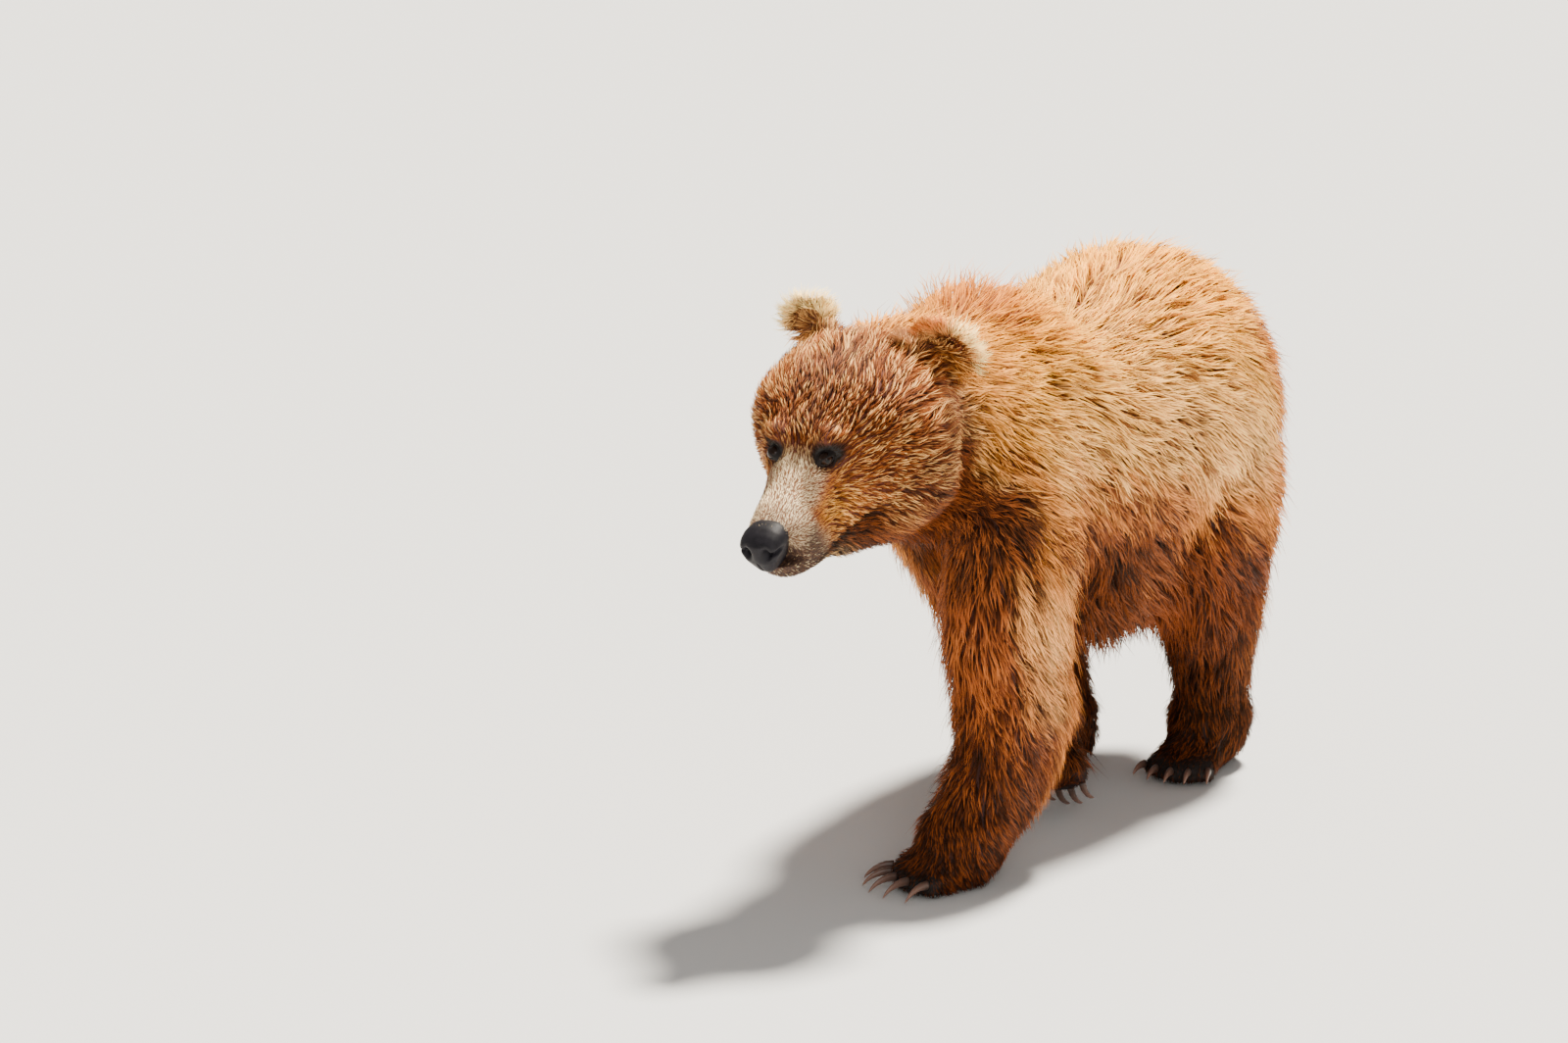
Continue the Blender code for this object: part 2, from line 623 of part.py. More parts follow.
def cut_head(rest, to_world):
    """Parts off nose, ears, lower jaw and head, and sets the eyes in their sockets."""
    pieces = {}
    nose_box = (((0.331, 0.0, 0.0), (-1.0, 0.0, 0.35)), ((0.331, 0.0, -0.026), (0.15, 0.0, -1.0)))
    pieces["nose"] = part_off(rest, "nose", head_planes(to_world, *nose_box))
    for side in (1, -1):
        nostril = make_object("nostril", [head_lump(NOSTRIL, side, to_world)], helper=True)
        boolean(pieces["nose"], nostril, "DIFFERENCE")
    for side, name in ((1, "ear_left"), (-1, "ear_right")):
        ahead, left, above = EAR_PLACES[side]
        lean = EAR_LEAN[side]
        outward = Vector((0.0, side * math.sin(lean), math.cos(lean)))
        base = Vector((ahead, side * left, above)) + EAR_CUT * outward
        down = -outward
        front = ((ahead + 0.048, 0.0, 0.0), (1.0, 0.0, 0.0))
        back = ((ahead - 0.060, 0.0, 0.0), (-1.0, 0.0, 0.0))
        rows = ((base, down), ((0.0, side * 0.05, 0.0), (0.0, -side * 1.0, 0.0)), front, back)
        pieces[name] = part_off(rest, name, head_planes(to_world, *rows))
    jaw_box = (((0.16, 0.0, -0.046), (0.10, 0.0, 1.0)), ((0.10, 0.0, -0.05), (-1.0, 0.0, 0.0)))
    nape = (((-0.055, 0.0, 0.060), (-0.90, 0.0, -0.43)), ((0.0, 0.0, -0.215), (0.0, 0.0, -1.0)))
    pieces["head"] = part_off(rest, "head", head_planes(to_world, *nape))
    pieces["lower_jaw"] = part_off(pieces["head"], "lower_jaw", head_planes(to_world, *jaw_box))
    for side, name in ((1, "eye_left"), (-1, "eye_right")):
        pit = make_object("socket", [head_lump(SOCKET, side, to_world)], helper=True)
        boolean(pieces["head"], pit, "DIFFERENCE")
        centre = to_world @ Vector((EYE_PLACE[0], side * EYE_PLACE[1], EYE_PLACE[2]))
        pieces[name] = make_object(name, [ball(centre, (EYE_RADIUS,) * 3, None, 9, 12)])
        inset(pieces["head"], [pieces[name]])
    return pieces


def cut_claws(paws, roots):
    """Five claws for each paw, their bases sunk in the toes."""
    claws = {}
    for paw, toe_roots in roots.items():
        leg, _, side = paw.split("_")
        made = []
        for number, (root, ahead, above) in enumerate(toe_roots, 1):
            name = f"claw_{leg}_{side}_{number}"
            claws[name] = claw(name, root, ahead, above, CLAW_LENGTH[leg])
            made.append(claws[name])
        inset(paws[paw], made)
    return claws


def cut_body(rest):
    """Parts the legs, the tail and the neck from the trunk."""
    pieces = part_level(rest, PAW_LEVEL, PAW_PLACES)
    shins = part_level(rest, KNEE_LEVEL, SHIN_PLACES)
    pieces.update(shins)
    for name, rows in UPPER_LEGS.items():
        pieces[name] = part_off(rest, name, body_planes(*rows))
    pieces["tail"] = part_off(rest, "tail", body_planes(*TAIL_BOX))
    pieces["neck"] = part_off(rest, "neck", body_planes(((0.130, 0.0, 0.75), (-1.0, 0.0, -0.35))))
    return pieces


def stand_on_origin(things):
    """Moves everything so that the middle of the underside of the whole lies on the origin."""
    corners = np.array([vertex.co[:] for thing in things for vertex in thing.data.vertices])
    low, high = corners.min(axis=0), corners.max(axis=0)
    shift = Vector((*(-(low + high) / 2)[:2], -low[2]))
    for thing in things:
        thing.data.transform(Matrix.Translation(shift))


def main():
    clear_scene()
    to_world = skull_matrix()
    rest, roots = whole_body()
    rest.name = "trunk"
    pieces = cut_head(rest, to_world)
    pieces.update(cut_body(rest))
    pieces["trunk"] = rest
    pieces.update(cut_claws(pieces, roots))
    slots = {name: material(name, *look) for name, look in LOOKS.items()}
    for name, piece in pieces.items():
        piece.name = name
        piece.data.materials.clear()
        piece.data.materials.append(slots[slot_of(name)])
        piece.data.shade_smooth()
    for thing in list(bpy.data.objects):
        if thing.hide_render:
            bpy.data.objects.remove(thing)
    stand_on_origin(list(pieces.values()))


def slot_of(name):
    """The material slot of a node, by the first word of its name."""
    word = name.split("_")[0]
    if word in ("head", "neck", "ear", "lower"):
        return COAT_HEAD
    if word in ("front", "hind"):
        return COAT_LEGS
    return {"nose": LEATHER, "eye": CORNEA, "claw": HORN}.get(word, COAT)


main()
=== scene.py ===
# %% [markdown]
# # A grizzly bear, life size
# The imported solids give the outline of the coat. This script dresses them: one skin under the coat, tufts
# of fur over it, wet eyes in their lids, a leather nose and claws of horn. A still museum model has no
# joints, so every piece rides on the one body, "root".

# %% Load the frame
import math
import time

import bmesh
import bpy
import numpy as np
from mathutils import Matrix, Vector
from mathutils.bvhtree import BVHTree


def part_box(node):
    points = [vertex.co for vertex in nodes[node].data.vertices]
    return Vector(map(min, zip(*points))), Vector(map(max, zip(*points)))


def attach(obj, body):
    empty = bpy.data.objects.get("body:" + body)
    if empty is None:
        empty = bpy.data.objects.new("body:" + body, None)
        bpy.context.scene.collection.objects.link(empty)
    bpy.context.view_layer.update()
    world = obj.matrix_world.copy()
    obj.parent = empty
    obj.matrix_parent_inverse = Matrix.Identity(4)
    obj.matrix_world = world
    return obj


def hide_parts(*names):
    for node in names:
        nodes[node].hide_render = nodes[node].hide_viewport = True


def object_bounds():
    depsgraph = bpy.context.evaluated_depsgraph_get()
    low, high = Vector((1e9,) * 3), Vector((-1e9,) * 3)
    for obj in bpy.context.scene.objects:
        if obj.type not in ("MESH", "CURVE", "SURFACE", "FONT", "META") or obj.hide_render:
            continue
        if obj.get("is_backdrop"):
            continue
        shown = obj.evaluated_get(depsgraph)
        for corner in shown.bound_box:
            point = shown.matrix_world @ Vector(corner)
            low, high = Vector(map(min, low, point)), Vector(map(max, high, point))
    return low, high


started = time.time()
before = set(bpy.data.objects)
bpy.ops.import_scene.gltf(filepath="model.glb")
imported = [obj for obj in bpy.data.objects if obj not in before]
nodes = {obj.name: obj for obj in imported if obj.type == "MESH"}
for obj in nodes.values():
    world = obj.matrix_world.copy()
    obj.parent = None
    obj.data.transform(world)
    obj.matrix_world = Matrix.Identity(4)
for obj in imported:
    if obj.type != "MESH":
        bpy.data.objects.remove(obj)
cad_low, cad_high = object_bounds()


def clock():
    """Seconds since the start, for the printed lines."""
    return f"{time.time() - started:.1f} s"


print("solids:", len(nodes), "box", [round(v, 3) for v in (*cad_low, *cad_high)])

# %% [markdown]
# ## Values that change from place to place
# A coat changes smoothly over the body: its colour, its depth, the lie and the length of its hair. Maps
# could be drawn by hand, but then skin and fur would need one each. Here every such value is a function of
# place, put together from a few soft shapes, and each works on all points at once as a numpy array.

# %% Helpers for arrays
def unit(vectors):
    """Rows made one metre long."""
    return vectors / np.maximum(np.linalg.norm(vectors, axis=-1, keepdims=True), 1e-9)


def ramp(values, start, stop):
    """0 at start, 1 at stop, with an S between: 3t^2 - 2t^3."""
    t = np.clip((values - start) / (stop - start), 0, 1)
    return t * t * (3 - 2 * t)


def near(places, middle, radii):
    """1 at the middle, falling to 0 at the radii: a soft bump exp(-3 d^2)."""
    return np.exp(-3 * (((places - middle) / radii) ** 2).sum(axis=-1))


def bell(values, width):
    """1 where the value is 0, falling to a third at the width: exp(-(v / w)^2)."""
    return np.exp(-((values / width) ** 2))


def mix(first, second, share):
    """first where share is 0, second where it is 1; works on rows of colours and on numbers."""
    share = np.asarray(share)
    if np.ndim(second) > np.ndim(share) or np.ndim(first) > np.ndim(share):
        share = share[..., None]
    return first * (1 - share) + second * share


def layered(base, *layers):
    """Lays values or colours over a base in turn; each layer is a value and its share, 0 to 1."""
    for value, share in layers:
        base = mix(base, value, share)
    return base


def columns(*values):
    """Rows made of columns, any of which may be one number."""
    return np.stack(np.broadcast_arrays(*values), axis=-1)


def ripple(points, size, seed):
    """Smooth noise of about -1 to 1: nine sine waves of random direction, about size metres long."""
    random = np.random.default_rng(seed)
    ways = unit(random.normal(size=(9, 3))) * (2 * math.pi / size) * random.uniform(0.6, 1.7, (9, 1))
    return np.sin(points @ ways.T + random.uniform(0, 6.28, 9)).sum(axis=1) / 3


# %% [markdown]
# ## Two frames to think in
# The body stands with +Z up and faces -Y, its left side on +X. The head is pitched down, so its shapes are
# easier in the skull's own axes: ahead along the muzzle, left, and above. The eyes' solids fix where the
# skull is, because their places in it are known. Each ear has axes of its own in the skull.

# %% The skull's and the ears' axes
HEAD_PITCH, HEAD_ROLL, SKULL_SIZE = math.radians(29), math.radians(-1), 1.05
EYE = np.array((0.201, 0.046, 0.070))
SOLID_EAR = {"left": np.array((-0.076, 0.124, 0.078)), "right": np.array((-0.070, -0.112, 0.106))}
EAR = {"left": np.array((-0.066, 0.116, 0.073)), "right": np.array((-0.068, -0.108, 0.102))}
EAR_LEAN = {"left": math.radians(42), "right": math.radians(26)}
EAR_FACING = 0.35  # how far the solids' hollows turn outwards, in radians
EAR_TURN = {"left": -0.05, "right": -0.34}  # how far the ears turn from there, one forwards to listen


def turn(angle, axis):
    """Rotation by an angle about axis 0, 1 or 2, as a 3x3 array."""
    cosine, sine = math.cos(angle), math.sin(angle)
    others = [number for number in range(3) if number != axis]
    matrix = np.eye(3)
    matrix[np.ix_(others, others)] = ((cosine, -sine), (sine, cosine))
    return matrix.T if axis == 1 else matrix


def ear_axes(side, angle):
    """Rows: the way an ear's disc faces, the way out along the disc, and the way up it."""
    flip, lean = (1 if side == "left" else -1), EAR_LEAN[side]
    facing = np.array((math.cos(angle), flip * math.sin(angle), 0))
    sideways = np.array((-math.sin(angle), flip * math.cos(angle), 0))
    above = np.array((0, 0, 1.0))
    out = sideways * math.cos(lean) - above * math.sin(lean)
    return np.array((facing, out, sideways * math.sin(lean) + above * math.cos(lean)))


SOLID_AXES = {side: ear_axes(side, EAR_FACING) for side in EAR}
EAR_AXES = {side: ear_axes(side, EAR_FACING + EAR_TURN[side]) for side in EAR}
FACING = np.array(((0, 1, 0), (-1, 0, 0), (0, 0, 1.0)))
SKULL = turn(HEAD_PITCH, 0) @ turn(HEAD_ROLL, 1) @ FACING
eye_middle = sum(np.array(v) for n in ("eye_left", "eye_right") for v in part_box(n)) / 4
SKULL_ORIGIN = eye_middle - SKULL @ (EYE * (1, 0, 1)) * SKULL_SIZE


def to_skull(points):
    """World points as (ahead, left, above) of the skull: turned back and divided by its size."""
    return (points - SKULL_ORIGIN) @ SKULL / SKULL_SIZE


def from_skull(places):
    """Skull places carried into the world."""
    return np.asarray(places) * SKULL_SIZE @ SKULL.T + SKULL_ORIGIN


def both_sides(skull):
    """Skull places with their left made positive, for what both sides share."""
    return columns(skull[:, 0], np.abs(skull[:, 1]), skull[:, 2])


def ear_frame(skull, side):
    """Places in an ear's own axes: ahead of its disc, outwards along it, and up from its root."""
    return (skull - EAR[side]) @ EAR_AXES[side].T


def on_disc(place, root=(-0.006, 0.012), face=(0.050, 0.036)):
    """1 on an ear's disc, 0 off it: by the height over the root, the way ahead, and the reach."""
    ahead, out, rise = place.T
    return ramp(rise, *root) * ramp(np.abs(ahead), *face) * ramp(np.hypot(out, rise), 0.086, 0.074)


print("skull origin", SKULL_ORIGIN.round(3))

# %% [markdown]
# ## The skin
# Under the fur a bear has one unbroken skin. It could be sculpted apart from the solids, but then it would
# drift from them. Instead copies of the solids of flesh are swelled by 0.6 mm, so that they overlap across
# the cuts, and one voxel Remesh makes a single surface of them. It is smoothed, then sunk inwards by the
# depth of the coat at each place: 3 mm on the muzzle, 3 cm on the flanks.

# %% Pieces from arrays, and back
def new_piece(name, points, faces, slot, *replaced):
    """An object at the origin from points and faces, riding on the body; triangles or quads."""
    faces = np.asarray(faces)
    mesh = bpy.data.meshes.new(name)
    mesh.vertices.add(len(points))
    mesh.vertices.foreach_set("co", np.asarray(points, np.float32).ravel())
    mesh.loops.add(faces.size)
    mesh.loops.foreach_set("vertex_index", faces.ravel().astype(np.int32))
    mesh.polygons.add(len(faces))
    mesh.polygons.foreach_set("loop_start", np.arange(0, faces.size, faces.shape[1], dtype=np.int32))
    mesh.update(calc_edges=True)
    mesh.validate()
    mesh.shade_smooth()
    piece = bpy.data.objects.new(name, mesh)
    bpy.context.scene.collection.objects.link(piece)
    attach(piece, "root")
    if replaced:
        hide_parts(*replaced)
    return piece


def finished(piece):
    """Applies the modifiers of an object to its mesh."""
    bpy.context.view_layer.update()
    graph = bpy.context.evaluated_depsgraph_get()
    mesh = bpy.data.meshes.new_from_object(piece.evaluated_get(graph))
    piece.modifiers.clear()
    piece.data = mesh
    mesh.shade_smooth()
    return piece


def get(mesh, what, key, width=3):
    """A mesh array as rows, such as the points' co."""
    store = getattr(mesh, what)
    rows = np.empty(len(store) * width, np.int32 if key in ("vertices", "vertex_index") else np.float32)
    store.foreach_get(key, rows)
    return rows.reshape(-1, width).astype(int if rows.dtype == np.int32 else float)


def put(mesh, name, kind, rows):
    """Stores a number or a colour for each point of a mesh."""
    layer = mesh.attributes.new(name, kind, "POINT")
    key = "color" if kind == "FLOAT_COLOR" else "value"
    layer.data.foreach_set(key, np.asarray(rows, np.float32).ravel())


# %% Gather the flesh
FLESH = sorted(name for name in nodes if name.split("_")[0] not in ("claw", "eye", "nose"))
VOXEL = 0.0042
SWELL = 0.0006


def merged(name):
    """Points, normals and triangles of a solid, with the doubled corners of its triangles merged."""
    shell = bmesh.new()
    shell.from_mesh(nodes[name].data)
    bmesh.ops.remove_doubles(shell, verts=shell.verts[:], dist=1e-6)
    shell.normal_update()
    points = np.array([corner.co[:] for corner in shell.verts])
    normals = np.array([corner.normal[:] for corner in shell.verts])
    faces = np.array([[corner.index for corner in face.verts] for face in shell.faces])
    shell.free()
    return points, normals, faces


def settled(name, points, normals):
    """An ear carried from its solid's axes to its own; everything else as it is."""
    if not name.startswith("ear"):
        return points, normals
    side = name.split("_")[1]
    turned = SOLID_AXES[side].T @ EAR_AXES[side]
    places = (to_skull(points) - SOLID_EAR[side]) @ turned + EAR[side]
    return from_skull(places), normals @ SKULL @ turned @ SKULL.T


start, flesh_points, flesh_faces = 0, [], []
for name in FLESH:
    points, normals, faces = merged(name)
    points, normals = settled(name, points, normals)
    flesh_points.append(points + normals * SWELL)
    flesh_faces.append(faces + start)
    start += len(points)
skin = new_piece("skin", np.vstack(flesh_points), np.vstack(flesh_faces), "coat_gold", *FLESH)
weld = skin.modifiers.new("one skin", "REMESH")
weld.mode, weld.voxel_size = "VOXEL", VOXEL
finished(skin)
print("skin faces after the weld:", len(skin.data.polygons), clock())

# %% Where each region is
def ear_share(skull):
    """1 on the ears' discs, 0 on the head."""
    return np.clip(sum(on_disc(ear_frame(skull, side)) for side in EAR), 0, 1)


def head_share(skull):
    """1 on the head and ears, 0 behind the nape."""
    face = ramp(skull[:, 0], -0.120, -0.040) * ramp(skull[:, 2], -0.30, -0.20)
    return np.maximum(face, ear_share(skull))


def muzzle_share(skull):
    """1 on the short fur: from between the eyes on the top, and only round the lips on the sides."""
    top = 0.055 * ramp(skull[:, 2], 0.010, 0.045)
    return ramp(skull[:, 0] + top, 0.250, 0.290) * ramp(skull[:, 2], -0.30, -0.20)


def leg_share(points):
    """1 on the legs below the body, 0 above the elbow and knee."""
    return ramp(points[:, 2], 0.40, 0.26)


def paw_share(points):
    """1 on the paws, 0 above the wrist."""
    return ramp(points[:, 2], 0.150, 0.085)


CLAWS = sorted(name for name in nodes if name.startswith("claw"))
claw_middles = np.array([np.mean([np.array(v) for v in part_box(name)], axis=0) for name in CLAWS])


def toe_share(points):
    """1 round the claws, falling to 0 some centimetres away."""
    gap = np.linalg.norm(points[:, None] - claw_middles[None], axis=2).min(axis=1)
    return ramp(gap, 0.075, 0.035)


def coat_depth(points):
    """How far the tips of the coat stand over the skin, in metres."""
    skull, toes = to_skull(points), toe_share(points) * paw_share(points)
    head = head_share(skull)
    belly = ramp(points[:, 2], 0.42, 0.34) * ramp(np.abs(points[:, 1] - 0.12), 0.40, 0.30)
    depth = layered(
        0.030,
        (0.034, ramp(points[:, 2], 0.80, 0.95)),
        (0.036, belly),
        (0.020, leg_share(points)),
        (0.010, paw_share(points)),
        (0.0045, toes),
        (0.019, head),
        (0.0095, ramp(skull[:, 0], 0.09, 0.18) * head),
        (0.0035, muzzle_share(skull)),
        (0.0060, ear_share(skull)),
    )
    for side in (1, -1):
        depth = depth * (1 - 0.75 * near(skull, EYE * (1, side, 1), 0.036))
    return depth


# %% Smooth the skin, and sink it by the depth of the coat
def neighbour_mean(rows, edges, count):
    """The mean of each point's neighbours, for every column of rows, by adding along the edges."""
    ends, others = edges.ravel(), edges[:, ::-1]
    sums = [np.bincount(ends, weights=column[others].ravel(), minlength=count) for column in rows.T]
    return np.stack(sums, axis=1) / np.maximum(np.bincount(ends, minlength=count), 1)[:, None]


def point_normals(points, faces):
    """Normals of the points: the sum of the cross products of the diagonals of their quads."""
    first, second, third, fourth = (points[column] for column in faces.T)
    across = np.cross(third - first, fourth - second)
    total = np.zeros_like(points)
    for column in faces.T:
        total += np.stack([np.bincount(column, across[:, axis], len(points)) for axis in range(3)], axis=1)
    return unit(total)


points = get(skin.data, "vertices", "co")
edges = get(skin.data, "edges", "vertices", 2)
quads = get(skin.data, "loops", "vertex_index", 1).reshape(-1, 4)


def relaxed(rows, times, share):
    """Rows drawn a share of the way to their neighbours' mean, some number of times."""
    for _ in range(times):
        rows = rows + share * (neighbour_mean(rows, edges, len(rows)) - rows)
    return rows


points = relaxed(points, 18, 0.55)
_, y, z = points.T
joined = ramp(y, -0.52, -0.44) * ramp(y, -0.12, -0.20) * ramp(z, 0.42, 0.50)  # the neck
joined = (joined * (1 - ear_share(to_skull(points))))[:, None]
points = relaxed(points, 70, 0.65 * joined)
flat = relaxed(points, 40, 0.6)
skull = to_skull(points)
soft = 1 - muzzle_share(skull) * 0.8 - paw_share(points) * 0.3 - ear_share(skull)
normals = unit(mix(point_normals(points, quads), point_normals(flat, quads), np.clip(soft, 0, 1)))
depth = coat_depth(points)
points = relaxed(points - normals * depth[:, None], 6, 0.4)
print("coat depth mm", (depth.min() * 1000).round(1), (depth.max() * 1000).round(1), clock())

# %% [markdown]
# ## The face's folds
# Under the short fur of the face the skull shows: eye sockets, brow, cheekbones, a furrow, the line of the
# lips. Sculpting by hand can't be repeated, so each fold is a soft bump of its own height, place and size,
# and the skin moves along its normals by their sum.

# %% Fold the face: sockets, brow, lip line, the ears' hollows
FOLDS = (  # how far the skin moves outwards, the fold's middle, and its radii, in the skull's axes
    (-0.0100, EYE + (0.006, 0.006, -0.002), (0.030, 0.026, 0.020)),  # the socket
    (0.0095, EYE + (-0.012, 0.000, 0.026), (0.036, 0.032, 0.015)),  # the brow
    (0.0035, EYE + (-0.006, 0.012, -0.028), (0.034, 0.030, 0.014)),  # the cheekbone
    (-0.0060, (0.215, 0.000, 0.085), (0.045, 0.016, 0.040)),  # between the eyes
    (-0.0045, (0.120, 0.000, 0.150), (0.060, 0.014, 0.060)),  # the furrow of the forehead
    (-0.0050, (0.215, 0.060, 0.020), (0.050, 0.030, 0.022)),  # the hollow beside the muzzle
)
PAD_LONG, PAD_HIGH = 0.016, 0.012  # the spacing of the whisker pad's bumps


def over_lips(places):
    """Height over the line where the lips meet, which falls towards the nose."""
    return places[:, 2] + 0.046 + 0.10 * (places[:, 0] - 0.16)


def sculpt(points, normals):
    """Moves the skin along its normals by sums of soft bumps placed in the skull's axes."""
    skull = to_skull(points)
    here = both_sides(skull)
    x, _, z = here.T
    move = sum(height * near(here, middle, radii) for height, middle, radii in FOLDS)
    lip, front = over_lips(here), ramp(x, 0.125, 0.165) * ramp(z, -0.005, -0.02)
    move -= 0.0055 * bell(lip, 0.0045) * front
    move += 0.0030 * bell(lip - 0.014, 0.012) * front * ramp(x, 0.20, 0.27)
    whiskers = 0.0011 * np.sin(x * 2 * math.pi / PAD_LONG) * np.sin(z * 2 * math.pi / PAD_HIGH)
    move += whiskers * near(here, (0.300, 0.052, -0.012), (0.034, 0.030, 0.024))
    for side in EAR:
        ahead, out, rise = ear_frame(skull, side).T
        cup = np.exp(-((out / 0.030) ** 2) - (((rise - 0.022) / 0.026) ** 2)) * ramp(ahead, 0.000, 0.010)
        move -= 0.014 * cup * ramp(rise, -0.01, 0.012)
    return points + normals * move[:, None]


points = relaxed(sculpt(points, point_normals(points, quads)), 2, 0.3)
skin.data.vertices.foreach_set("co", points.astype(np.float32).ravel())
skin.data.update()
print("folded", len(FOLDS), "forms into the face", clock())

# %% Fewer faces where the skin is plain
SKIN_TRIANGLES = 170_000
STEPS = 10
fine = skin.vertex_groups.new(name="plain")
share = 1 - 0.9 * head_share(skull) - 0.7 * muzzle_share(skull) - 0.6 * paw_share(points)
share = np.clip(share, 0.05, 1)
for level in range(1, STEPS + 1):
    chosen = np.flatnonzero((share * STEPS).round().astype(int) == level).tolist()
    if chosen:
        fine.add(chosen, level / STEPS, "REPLACE")
thin = skin.modifiers.new("fewer faces", "DECIMATE")
thin.ratio = SKIN_TRIANGLES / (2 * len(quads))
thin.vertex_group, thin.vertex_group_factor = fine.name, 3.0
finished(skin)
skin.vertex_groups.clear()
print("skin triangles:", sum(len(face.vertices) - 2 for face in skin.data.polygons), clock())

# %% [markdown]
# ## The markings
# This bear is blond along the back and rump, sandy on the flanks and shoulders, and rust brown on the
# belly, legs and cheeks, with a grey-beige muzzle and pale ear rims. Paint could be drawn on, but the fur
# and the skin under it must agree, so one function of place gives the colour of both. Each region is a
# base with further colours laid over it, and the regions are laid over each other in turn.

# %% The palette
def tone(red, green, blue):
    """A colour given as on a paint card, 0 to 255, in the linear values that shaders mix."""
    share = np.array((red, green, blue)) / 255
    return np.where(share > 0.04045, ((share + 0.055) / 1.055) ** 2.4, share / 12.92)


BLOND, SAND, HONEY = tone(255, 180, 52), tone(255, 200, 128), tone(238, 156, 60)
ORANGE, AMBER, TAWNY = tone(192, 112, 34), tone(212, 98, 4), tone(172, 92, 36)
RUST, CHESTNUT, UMBER, SOOT = tone(124, 62, 30), tone(86, 40, 20), tone(60, 28, 14), tone(24, 16, 13)
CREAM, GREY, LIP = tone(255, 222, 146), tone(255, 234, 192), tone(84, 58, 48)
GILTS = tone(255, 206, 130), tone(255, 172, 44), tone(228, 142, 68), tone(206, 106, 38)


def all_over(colour, points):
    """One colour for every point."""
    return np.tile(colour, (len(points), 1))


def eye_patch(here):
    """1 on the dark fur round the eye, from a place in the skull with its left made positive."""
    return np.clip(near(here, EYE + (-0.003, 0.003, 0.003), (0.044, 0.048, 0.034)) * 2.8 - 0.50, 0, 1)


# %% The trunk and the neck
def trunk_colour(points, facing, noise):
    """Blond above, sand on the flanks, orange behind, rust and umber below; honey on the neck."""
    x, y, z = points.T
    broad, fleck, fine, drip = noise
    wisp = ripple(columns(x, 0.45 * (y - z), 1.6 * (y + z) / 2), 0.050, 13)
    low = z + 0.25 * np.clip(y - 0.05, 0, 0.45) + 0.03 * broad + 0.020 * fleck + 0.030 * drip
    neck = ramp(y + 0.03 * broad, -0.16, -0.28)
    throat = ramp(y + 0.02 * fleck, -0.22, -0.34) * ramp(z + 0.02 * fleck, 0.77, 0.66)
    return layered(
        all_over(SAND, points),
        (BLOND, ramp(z + 0.03 * broad, 0.60, 0.86)),
        (ORANGE, 0.95 * ramp(y + 0.03 * broad + 0.02 * fleck, 0.48, 0.62) * ramp(z, 1.02, 0.80)),
        (AMBER, 0.95 * near(points, (0.0, -0.14, 0.98), (0.24, 0.20, 0.13))),
        (CHESTNUT, 0.75 * ramp(wisp + 0.3 * fine, 0.85, 1.4) * ramp(z, 0.94, 0.82)),
        (ORANGE, ramp(low, 0.76, 0.62) * 0.85),
        (RUST, ramp(low, 0.66, 0.55) * 0.90),
        (UMBER, ramp(low, 0.58, 0.49) * 0.95),
        (HONEY, neck * 0.70),
        (ORANGE, neck * ramp(z + 0.02 * fleck, 0.84, 0.70) * 0.70),
        (CHESTNUT, throat * 0.9),
        # Painted shade: umber where the throat faces down.
        (UMBER, throat * ramp(facing[:, 2], 0.5, -0.1) * 0.9),
    )


# %% The legs
def front_leg_colour(points, facing, noise):
    """Sand on the outer side, which narrows downwards, rust in front and orange behind."""
    x, _, z = points.T
    broad, fleck, fine, _ = noise
    ahead, spot = facing[:, 1], z + 0.02 * fleck
    outer = ramp(facing[:, 0] * np.sign(x), 0.45, 0.80) * ramp(ahead, -0.75, -0.40)
    streak = 0.74 * outer * ramp(z + 0.04 * broad + 0.03 * fleck, 0.26, 0.48) * ramp(ahead, 0.50, 0.05)
    return layered(
        all_over(RUST, points),
        (CHESTNUT, (0.25 + 0.75 * ramp(fleck + 0.6 * fine, -0.2, 1.3)) * 0.75),
        (ORANGE, ramp(ahead, 0.1, 0.6) * 0.75),
        (SAND, streak),
        (UMBER, 0.45 * outer * ramp(fleck - broad, 0.6, 1.5)),
        (SAND, 0.8 * ramp(spot, 0.50, 0.60) * ramp(ahead, -0.75, -0.30)),
        (UMBER, ramp(spot, 0.17, 0.07) * 0.75),
    )


def hind_leg_colour(points, noise):
    """Chestnut, darker towards the paw and orange behind the haunch."""
    (_, y, z), fleck = points.T, noise[1]
    return layered(
        all_over(CHESTNUT, points),
        (UMBER, ramp(z + 0.03 * fleck, 0.38, 0.22) * 0.85),
        (ORANGE, ramp(y + 0.03 * fleck, 0.50, 0.66) * ramp(z, 0.12, 0.34) * 0.85),
    )


